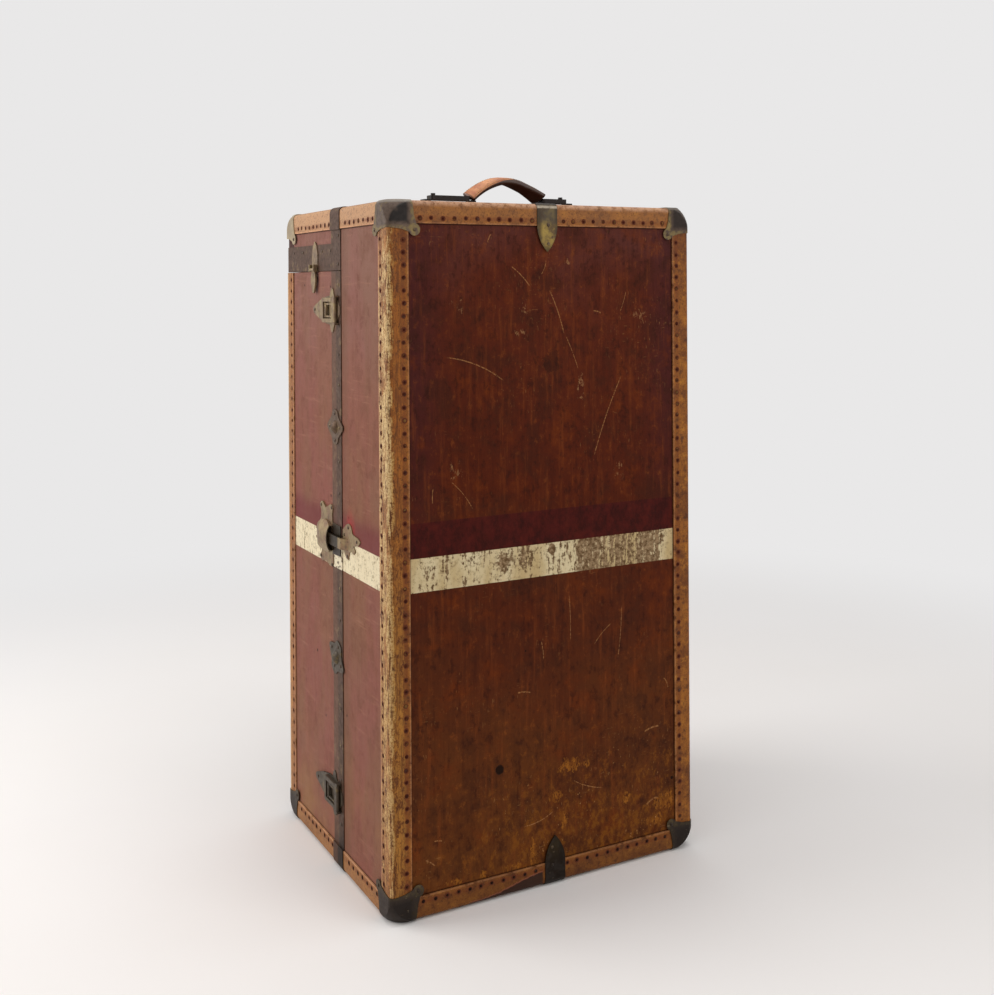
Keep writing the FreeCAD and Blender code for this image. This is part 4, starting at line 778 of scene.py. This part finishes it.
def heads_tree():
    """Node tree: a flattened ball on each point, turned to the point's facing."""
    tree = bpy.data.node_groups.new("heads on points", "GeometryNodeTree")
    sockets = {}
    for name, kind in (("Points", "Geometry"), ("Radius", "Float"), ("Height", "Float"),
                       ("Uneven", "Float"), ("Tilt", "Float"), ("Seed", "Int"),
                       ("Finish", "Material")):
        made = tree.interface.new_socket(name, in_out="INPUT", socket_type="NodeSocket" + kind)
        sockets[name] = made.identifier
    tree.interface.new_socket("Heads", in_out="OUTPUT", socket_type="NodeSocketGeometry")

    def add(kind, values=None, **settings):
        """Adds a node with its settings and inputs, and gives back its first output in use."""
        node = tree.nodes.new(kind)
        for name, value in settings.items():
            setattr(node, name, value)
        for name, value in (values or {}).items():
            socket = node.inputs[name] if isinstance(name, int) else next(
                s for s in node.inputs if s.enabled and s.name == name)
            if isinstance(value, bpy.types.NodeSocket):
                tree.links.new(value, socket)
            else:
                socket.default_value = value
        return next((s for s in node.outputs if s.enabled), None)

    def sum_of(operation, one, two):
        """One Math node between two values."""
        return add("ShaderNodeMath", {0: one, 1: two}, operation=operation)

    given = tree.nodes.new("NodeGroupInput").outputs
    at = add("ShaderNodeSeparateXYZ", {"Vector": add("GeometryNodeInputPosition")}).node.outputs
    place = add("ShaderNodeCombineXYZ", {"X": at["X"], "Y": at["Y"],
                                         "Z": sum_of("MAXIMUM", at["Z"], FLAT_BELOW)})
    dome = add("GeometryNodeMeshUVSphere", {"Segments": 10, "Rings": 6, "Radius": 1.0})
    dome = add("GeometryNodeSetPosition", {"Geometry": dome, "Position": place})
    dome = add("GeometryNodeSetShadeSmooth", {"Geometry": dome})
    facing = add("GeometryNodeInputNamedAttribute", {"Name": "facing"}, data_type="FLOAT_VECTOR")
    lean = add("FunctionNodeRandomValue", {
        "Min": sum_of("MULTIPLY", given["Tilt"], -1.0), "Max": given["Tilt"],
        "Seed": given["Seed"]}, data_type="FLOAT_VECTOR")
    leaning = add("ShaderNodeVectorMath", {0: facing, 1: lean}, operation="ADD")
    turn = add("FunctionNodeAlignRotationToVector", {"Vector": leaning}, axis="Z")
    size = add("FunctionNodeRandomValue", {
        "Min": sum_of("SUBTRACT", 1.0, given["Uneven"]), "Max": sum_of("ADD", 1.0, given["Uneven"]),
        "Seed": given["Seed"]}, data_type="FLOAT")
    shape = add("ShaderNodeCombineXYZ", {"X": given["Radius"], "Y": given["Radius"],
                                         "Z": given["Height"]})
    scale = add("ShaderNodeVectorMath", {0: shape, "Scale": size}, operation="SCALE")
    heads = add("GeometryNodeInstanceOnPoints", {"Points": given["Points"], "Instance": dome,
                                                 "Rotation": turn, "Scale": scale})
    heads = add("GeometryNodeRealizeInstances", {"Geometry": heads})
    heads = add("GeometryNodeSetMaterial", {"Geometry": heads, "Material": given["Finish"]})
    add("NodeGroupOutput", {"Heads": heads})
    return tree, sockets


HEADS, HEAD_SOCKETS = heads_tree()
# slot, finish, radius and height in millimetres, unevenness of size, tilt
HEAD_KINDS = {"nail": ("old_brass", nail_metal, 2.6, 1.1, 0.1, 0.06),
              "stain": ("fibre", stain, 4.1, 0.22, 0.15, 0.0),
              "rivet": ("old_brass", rivet_metal, 3.0, 1.5, 0.1, 0.06),
              "screw": ("steel", hinge_metal, 3.2, 1.0, 0.03, 0.02),
              "drawer nail": ("old_brass", rivet_metal, 2.2, 1.0, 0.1, 0.06),
              "stitch": ("leather", thread, 1.0, 0.6, 0.15, 0.1)}


def link(name, data):
    """A new object at the origin with this mesh or lamp."""
    piece = bpy.data.objects.new(name, data)
    bpy.context.scene.collection.objects.link(piece)
    return piece


def put_heads(name, kind, spots, body, seed):
    """One mesh of heads on the given (place, facing) spots, riding on a body."""
    slot, finish, radius, height, uneven, tilt = HEAD_KINDS[kind]
    mesh = bpy.data.meshes.new(name + "_points")
    mesh.from_pydata([place for place, _ in spots], [], [])
    facing = mesh.attributes.new("facing", "FLOAT_VECTOR", "POINT")
    facing.data.foreach_set("vector", [v for _, way in spots for v in way])
    carrier = link(name + "_points", mesh)
    modifier = carrier.modifiers.new("heads", "NODES")
    modifier.node_group = HEADS
    values = {"Radius": radius * MM, "Height": height * MM, "Uneven": uneven, "Tilt": tilt,
              "Seed": seed, "Finish": finish}
    for key, value in values.items():
        modifier[HEAD_SOCKETS[key]] = value
    bpy.context.view_layer.update()
    graph = bpy.context.evaluated_depsgraph_get()
    solid = bpy.data.meshes.new_from_object(carrier.evaluated_get(graph))
    bpy.data.objects.remove(carrier)
    solid.name = name
    if not solid.materials:
        solid.materials.append(finish)
    piece = link(name, solid)
    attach(piece, body)
    print(name, len(spots), "heads,", len(solid.polygons), "faces")


# %% [markdown]
# A head has to sit on what it holds. Each spot is dropped from outside on the pieces of the
# frame, and is kept only where it lands on the wanted piece: a nail that would come out under a
# corner cap or clip is left out by itself.

# %% Let a fastener drop on the surface below it
WAYS = {way: Vector([outward if axis == i else 0 for i in range(3)])
        for way, (axis, outward, _) in FACES.items()}
DROP = 200 * MM


def on_face(way, others):
    """A place on a face, from its coordinates along the two other axes."""
    axis, _, plane = FACES[way]
    return [plane if i == axis else others[i] for i in range(3)]


def inwards(way, depth):
    """The coordinate that lies a depth inside a face."""
    return FACES[way][2] - FACES[way][1] * depth


def seat(place, way, wanted, above=()):
    """The spot where a fastener dropped against a face lands, or none if another piece is hit."""
    start = Vector(place) + WAYS[way] * DROP
    landed = []
    for name in (wanted, *above):
        hit, point, _, _ = nodes[name].ray_cast(start, -WAYS[way])
        if hit:
            landed.append(((point - start).length, name, point))
    if not landed:
        return []
    _, name, point = min(landed, key=lambda spot: spot[0])
    return [(point, WAYS[way])] if name == wanted else []


# nails: their pitch and the free length at a corner, and how far hand work strays (mm)
PITCH, CLEAR = 20 * MM, 56 * MM
ROW_SLIP, PITCH_SLIP = 0.7, 1.1
COVERS = ("front_corner_caps", "rear_corner_caps", "lid_corner_caps", "top_clip", "bottom_clip",
          "rear_binding", "lid_binding", "lid_band", "front_hinge_leaves", "rear_hinge_leaves")


def nail_rows(node, face_a, face_b, span):
    """Two rows of nails on the strip over the edge between two faces."""
    dice = random.Random(node + face_a + face_b)
    run = 3 - FACES[face_a][0] - FACES[face_b][0]
    count = int((span[1] - span[0]) / PITCH)
    spots = []
    for way, other in ((face_a, face_b), (face_b, face_a)):
        for number in range(count + 1):
            row = inwards(other, NAIL_ROW * MM + dice.uniform(-ROW_SLIP, ROW_SLIP) * MM)
            along = span[0] + number * PITCH + dice.uniform(-PITCH_SLIP, PITCH_SLIP) * MM
            place = on_face(way, {FACES[other][0]: row, run: along})
            spots += seat(place, way, node, COVERS)
    return spots


across_span = (LEFT + CLEAR, RIGHT - CLEAR)
up_span = (BOTTOM + CLEAR, TOP - CLEAR)
front_span = (FRONT + CLEAR, SEAM - 8 * MM)
case_up = (BOTTOM + CLEAR, LID_SEAM - 8 * MM)
rear_span = (SEAM + 52 * MM, REAR - CLEAR)
nails = {"front_half": [],
         "rear_half": nail_rows("rear_trim", "bottom", "rear", across_span),
         "lid": nail_rows("lid_trim", "top", "rear", across_span)}
for side in ("left", "right"):
    nails["front_half"] += nail_rows("front_trim", side, "front", up_span)
    for end in ("top", "bottom"):
        nails["front_half"] += nail_rows("front_trim", side, end, front_span)
    nails["rear_half"] += nail_rows("rear_trim", side, "rear", case_up)
    nails["rear_half"] += nail_rows("rear_trim", side, "bottom", rear_span)
    nails["lid"] += nail_rows("lid_trim", side, "top", rear_span)
for end in ("top", "bottom"):
    nails["front_half"] += nail_rows("front_trim", end, "front", across_span)
for number, (body, spots_found) in enumerate(nails.items()):
    put_heads(body + "_nails", "nail", spots_found, body, seed=number)
    put_heads(body + "_nail_stains", "stain", spots_found, body, seed=40 + number)

# %% [markdown]
# ## Rivets, screws and studs
# The metal fittings are held by larger domed rivets. They stand where a fitter would set them:
# along the seam binding, through the ears of each cap, at the corners of the latch and
# lock plates, and in every hinge leaf. On an upright face a spot is given as the distance from
# the face's front or left edge and the height, in millimetres.


# %% Rivets of the binding, the caps and the clips
def rivets_on(way, places, wanted, above=()):
    """Seats rivets on an upright face: (distance from the front or left, height)."""
    across = 1 - FACES[way][0]
    start = (LEFT, FRONT)[across]
    found = []
    for run, height in places:
        place = on_face(way, {across: start + run * MM, 2: height * MM})
        found += seat(place, way, wanted, above)
    return found


FITTINGS = ("upper_latch_base", "lower_latch_base", "upper_seam_plate", "lower_seam_plate",
            "lock_base", "lock_lever", "clasp_plates", "left_clasp", "right_clasp", "lid_band",
            "upper_latch_lever", "lower_latch_lever")
BINDING_HEIGHTS = (78, 152, 210, 273, 345, 422, 476, 636, 689, 760, 819, 870, 946, 988)
EAR = 46 * MM
front_rivets, rear_rivets, lid_rivets = [], [], []
for way in ("left", "right"):
    rear_rivets += rivets_on(way, [(BINDING_ROW, z) for z in BINDING_HEIGHTS], "rear_binding",
                             FITTINGS)
    lid_rivets += rivets_on(way, [(BINDING_ROW, z) for z in (1023, 1071)], "lid_binding",
                            FITTINGS)
    lid_rivets += rivets_on(way, [(y, BAND_HEIGHT) for y in (248, 290, 390, 437)], "lid_band",
                            FITTINGS)
for number in range(9):
    place = {0: LEFT + (70 + number * 54) * MM, 1: FRONT + BINDING_ROW * MM}
    lid_rivets += seat(on_face("top", place), "top", "lid_binding")
lid_rivets += rivets_on("rear", [(37 + number * 50, BAND_HEIGHT) for number in range(11)],
                        "lid_band", ("lid_hinge_leaves",))
cap_rivets = {"front_corner_caps": front_rivets, "rear_corner_caps": rear_rivets,
              "lid_corner_caps": lid_rivets}
for way in list(FACES)[:5]:
    others = [w for w in FACES if FACES[w][0] != FACES[way][0]]
    for one, two in ((one, two) for one in others for two in others):
        if FACES[one][0] < FACES[two][0]:
            place = {FACES[edge][0]: inwards(edge, EAR) for edge in (one, two)}
            for node, found in cap_rivets.items():
                found += seat(on_face(way, place), way, node)
front_rivets += rivets_on("front", [(287, 1084), (287, 1053)], "top_clip")
front_rivets += rivets_on("front", [(287, 33), (287, 62)], "bottom_clip")
print("rivets", len(front_rivets), len(rear_rivets), len(lid_rivets))

# %% Rivets of the latches, the lock and the strike
SIDE_RIVETS = (
    ("upper_latch_base", ((229, 976), (229, 912), (292, 969), (294, 921), (323, 945))),
    ("lower_latch_base", ((228, 153), (229, 90), (292, 147), (294, 98), (320, 122))),
    ("upper_seam_plate", ((228, 770), (228, 724), (207, 747), (252, 747))),
    ("lower_seam_plate", ((219, 375), (237, 340), (207, 346), (249, 369))),
    ("lock_base", ((246, 607), (297, 605), (244, 510), (299, 516))))
for node, places in SIDE_RIVETS:
    lever = (node.replace("base", "lever"),) if "latch" in node else ()
    rear_rivets += rivets_on("left", places, node, lever)
front_rivets += rivets_on("left", [(172, 585), (134, 568), (176, 537), (190, 571)],
                          "strike_plate")
put_heads("front_rivets", "rivet", front_rivets, "front_half", seed=5)
put_heads("rear_rivets", "rivet", rear_rivets, "rear_half", seed=6)
put_heads("lid_rivets", "rivet", lid_rivets, "lid", seed=7)


# %% [markdown]
# Some nodes are groups of equal pieces, such as the hinge leaves. To screw each leaf down, the
# group is split into its separate solids, and each solid's box gives the places of its screws.

# %% Separate solids of a node
def solids_of(name):
    """The boxes of the separate solids of a node: a copy is merged and walked over."""
    copy = bmesh.new()
    copy.from_mesh(nodes[name].data)
    bmesh.ops.remove_doubles(copy, verts=copy.verts, dist=1e-6)
    left_over = set(copy.verts)
    boxes = []
    while left_over:
        to_visit = [left_over.pop()]
        part = []
        while to_visit:
            vertex = to_visit.pop()
            part.append(vertex.co.copy())
            for edge in vertex.link_edges:
                other = edge.other_vert(vertex)
                if other in left_over:
                    left_over.discard(other)
                    to_visit.append(other)
        boxes.append(tuple(Vector([pick(p[i] for p in part) for i in range(3)])
                           for pick in (min, max)))
    copy.free()
    return sorted(boxes, key=lambda b: tuple(b[0]))


def leaf_screws(name, way, along, share_across):
    """Four screws in each leaf of a hinge node."""
    spots = []
    other = 3 - FACES[way][0] - along
    for low, high in solids_of(name):
        for share in (0.14, 0.38, 0.62, 0.86):
            place = {along: low[along] + share * (high[along] - low[along]),
                     other: low[other] + share_across * (high[other] - low[other])}
            spots += seat(on_face(way, place), way, name)
    return spots


screws = {"front_half": leaf_screws("front_hinge_leaves", "right", 2, 0.35),
          "rear_half": leaf_screws("rear_hinge_leaves", "right", 2, 0.65)
          + leaf_screws("case_hinge_leaves", "rear", 0, 0.35),
          "lid": leaf_screws("lid_hinge_leaves", "rear", 0, 0.65)}
for number, (body, spots_found) in enumerate(screws.items()):
    put_heads(body + "_screws", "screw", spots_found, body, seed=11 + number)

# %% [markdown]
# ## Edging of the drawers
# A drawer of pressed board frays where hands pull it, so its front is bound with a fibre strip
# on all four sides, nailed at the corners. The strip is one closed ring of flat faces with a
# bevelled rim, which takes few faces and catches the light.


# %% Fibre edging on each drawer front
def loft(name, rings, finish, closed):
    """A mesh through rings of points, either closed on itself or capped at both ends."""
    mesh = bmesh.new()
    rings = [[mesh.verts.new(point) for point in ring] for ring in rings]
    for one, two in zip(rings, rings[1:] + rings[:1] if closed else rings[1:]):
        for turn in range(len(one)):
            after = (turn + 1) % len(one)
            mesh.faces.new((one[turn], one[after], two[after], two[turn]))
    if not closed:
        mesh.faces.new(rings[0][::-1])
        mesh.faces.new(rings[-1])
    bmesh.ops.recalc_face_normals(mesh, faces=mesh.faces)
    data = bpy.data.meshes.new(name)
    mesh.to_mesh(data)
    mesh.free()
    data.materials.append(finish)
    return link(name, data)


STRIP, STRIP_HEIGHT, BEVEL, SUNK = 10 * MM, 0.8 * MM, 0.3 * MM, -0.3 * MM
EDGING_PROFILE = ((0, SUNK), (0, STRIP_HEIGHT - BEVEL), (BEVEL, STRIP_HEIGHT),
                  (STRIP - BEVEL, STRIP_HEIGHT), (STRIP, STRIP_HEIGHT - BEVEL), (STRIP, SUNK))
for number in DRAWERS:
    drawer, body = "drawer_" + str(number), "drawer_box_" + str(number)
    low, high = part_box(drawer)
    face = seat((MIDDLE + 60 * MM, high.y, low.z + 6 * MM), "rear", drawer)[0][0].y
    corners = [(low.x, 1, low.z, 1), (high.x, -1, low.z, 1), (high.x, -1, high.z, -1),
               (low.x, 1, high.z, -1)]
    rings = [[(x + dx * inset, face + lift, z + dz * inset) for x, dx, z, dz in corners]
             for inset, lift in EDGING_PROFILE]
    strip = loft("drawer_edging_" + str(number), rings, edging_fibre, closed=True)
    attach(strip, body)
    columns = [low.x + (5 + n * (high.x - low.x - 10 * MM) / 8 / MM) * MM for n in range(9)]
    places = [(x, z) for x in columns for z in (low.z + 5 * MM, high.z - 5 * MM)]
    places += [(x, (low.z + high.z) / 2) for x in (low.x + 5 * MM, high.x - 5 * MM)]
    put_heads("drawer_nails_" + str(number), "drawer nail",
              [(Vector((x, face + 0.75 * MM, z)), WAYS["rear"]) for x, z in places], body,
              seed=30 + number)
    print(drawer, "front at", round(face, 4))

# %% [markdown]
# ## The handle
# The grip is a strap of leather folded round a core, pressed flat and stitched along both
# edges. Its arch is steep and almost straight on both legs, with a tight top, because years of
# lifting have set it so. It is swept as a crowned oval along that arch; towards the bars its ends
# grow wider and thinner. The stitches are small domes on the same curve, put there by the same
# tree.

# %% Sweep the grip
GRIP_LOW, GRIP_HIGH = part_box("handle_grip")
grip_middle = (GRIP_LOW + GRIP_HIGH) / 2
half_span = (GRIP_HIGH.x - GRIP_LOW.x) / 2 - 2 * MM
grip_foot = GRIP_LOW.z + 6 * MM
grip_rise = GRIP_HIGH.z - grip_foot - 5 * MM
STEPS, AROUND = 72, 28
STITCH_LINE = 0.78


def arch(share):
    """Middle of the strap at a share from -1 to 1 along its span; its top leans to the left."""
    height = 1 - abs(share + 0.07 * (1 - share * share)) ** 1.75
    return Vector((grip_middle.x + share * half_span, grip_middle.y,
                   grip_foot + grip_rise * height))


def strap_frame(share):
    """Sideways and upward directions of the strap, which lifting has twisted along its length."""
    ahead = (arch(min(1, share + 0.01)) - arch(max(-1, share - 0.01))).normalized()
    up = Vector((-ahead.z, 0, ahead.x))
    lean = math.radians(29 if share < 0 else -33)
    lean *= math.sin(math.pi / 2 * min(1, abs(share) * 1.8))
    sideways = Vector((0, 1, 0)) * math.cos(lean) + up * math.sin(lean)
    return sideways, up * math.cos(lean) - Vector((0, 1, 0)) * math.sin(lean)


def strap_section(share):
    """Half width and half thickness of the strap: it has spread where it folds round the bars."""
    spread = max(0.0, (abs(share) - 0.5) / 0.5)
    return (11.5 + (3 if share < 0 else 5) * spread) * MM, (5.9 - 0.9 * spread) * MM


rings, shades = [], []
for step in range(STEPS + 1):
    share = -1 + 2 * step / STEPS
    # painted shade: the right half of the strap, whose underside is seen, and its ends are
    # darkened, and below the underside all along
    shade_along_strap = min(1.0, max(0.0, (share - 0.02) * 4)) * 0.9 + max(0.0, abs(share) - 0.9) * 6
    sideways, up = strap_frame(share)
    width, thick = strap_section(share)
    ring = []
    for turn in range(AROUND):
        angle = 2 * math.pi * turn / AROUND
        c, s = math.cos(angle), math.sin(angle)
        flat = math.copysign(abs(c) ** 0.55, c) * width
        rise = math.copysign(abs(s) ** 0.75, s) * thick
        crown = (1 - (flat / width) ** 2) * (1.2 * MM if s > 0 else 0.4 * MM)
        on_line = s > 0 and abs(abs(flat) / width - STITCH_LINE) < 0.09
        groove = -0.5 * MM if on_line else 0
        offset = sideways * flat + up * (rise + math.copysign(crown, s) + groove)
        ring.append(arch(share) + offset)
        shades.append(max(shade_along_strap, 1.0 if s < 0.25 else 0.0))
    rings.append(ring)
grip = loft("stitched_grip", rings, leather, closed=False)
grip.data.attributes.new("shade", "FLOAT", "POINT").data.foreach_set("value", shades)
for face in grip.data.polygons:
    face.use_smooth = True
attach(grip, "front_half")
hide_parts("handle_grip")
print("grip", tuple(round(v, 4) for v in grip.dimensions), "in the frame",
      tuple(round(v, 4) for v in GRIP_HIGH - GRIP_LOW))

# %% Stitches along both edges
stitches = []
for number in range(-21, 22):
    share = number / 23
    sideways, up = strap_frame(share)
    width, thick = strap_section(share)
    stitches += [(arch(share) + sideways * side * width * 0.80 + up * thick * 0.86, up)
                 for side in (-1, 1)]
put_heads("grip_stitches", "stitch", stitches, "front_half", seed=21)

# %% [markdown]
# ## Floor, background and lamps
# The trunk stands on a plain pale floor that fades into the background, so there is no horizon.
# The camera and reflections see a pale world; diffuse light from it is weaker, which keeps the
# shadow on the floor. Three soft lamps do the rest: the strongest stands left and behind, so the
# side gleams and the front keeps its depth of colour.

# %% Floor
BACKGROUND = paint("e9e8e8")
FLOOR_REACH = 9
floor_mesh = bpy.data.meshes.new("floor")
floor_mesh.from_pydata([(x * FLOOR_REACH, y * FLOOR_REACH, 0)
                        for x, y in ((-1, -1), (1, -1), (1, 1), (-1, 1))], [], [(0, 1, 2, 3)])
floor = link("floor", floor_mesh)
floor_paint, floor_place = begin("pale floor")
finish(floor_paint, tint(noise(floor_place, 1.7, 3, 0.5), "f2eeea", "f6f3f1"), 0.7)
across, away, _ = axes(floor_place)
fade = (across * across + away * away).math("SQRT").rise(0.9, 2.6)
matte = Wire(floor_paint.node_tree.nodes["Principled BSDF"].outputs[0])
glow = fade.node("Emission", {"Color": BACKGROUND, "Strength": 1.0})
plug(floor_paint.node_tree.nodes["Material Output"].inputs["Surface"],
     fade.node("MixShader", {0: fade, 1: matte, 2: glow}))
floor_mesh.materials.append(floor_paint)
print("floor", floor.dimensions[:2])

# %% World
world = bpy.data.worlds.new("studio")
bpy.context.scene.world = world
world.use_nodes = True
tree = world.node_tree
tree.nodes.clear()
path = tree.nodes.new("ShaderNodeLightPath")
seen = most_of([Wire(path.outputs[name]) for name in
                ("Is Camera Ray", "Is Glossy Ray", "Is Transmission Ray")])
plain = seen.node("Background", {"Color": paint("f4f4f6"), "Strength": 0.42})
bright = seen.node("Background", {"Color": BACKGROUND, "Strength": 1.0})
plug(tree.nodes.new("ShaderNodeOutputWorld").inputs["Surface"],
     seen.node("MixShader", {0: seen, 1: plain, 2: bright}))
bpy.context.scene.view_settings.view_transform = "Standard"
print("world", world.name)


# %% Lamps
def lamp(name, place, aim, size, power, colour):
    data = bpy.data.lights.new(name, "AREA")
    data.shape = "SQUARE"
    data.size = size
    data.energy = power
    data.color = colour
    light = link(name, data)
    light.location = place
    light.rotation_euler = (Vector(aim) - Vector(place)).to_track_quat("-Z", "Y").to_euler()
    light.visible_camera = False
    print(name, place, power, "W")


lamp("key", (-2.6, 1.3, 1.9), (0, 0, 0.55), 2.2, 62, (1.0, 0.98, 0.96))
lamp("fill", (1.4, -3.0, 2.0), (0, 0, 0.5), 2.4, 34, (1.0, 0.97, 0.94))
lamp("top", (0.1, -0.2, 3.3), (0, 0, 0), 2.6, 40, (1.0, 1.0, 1.0))
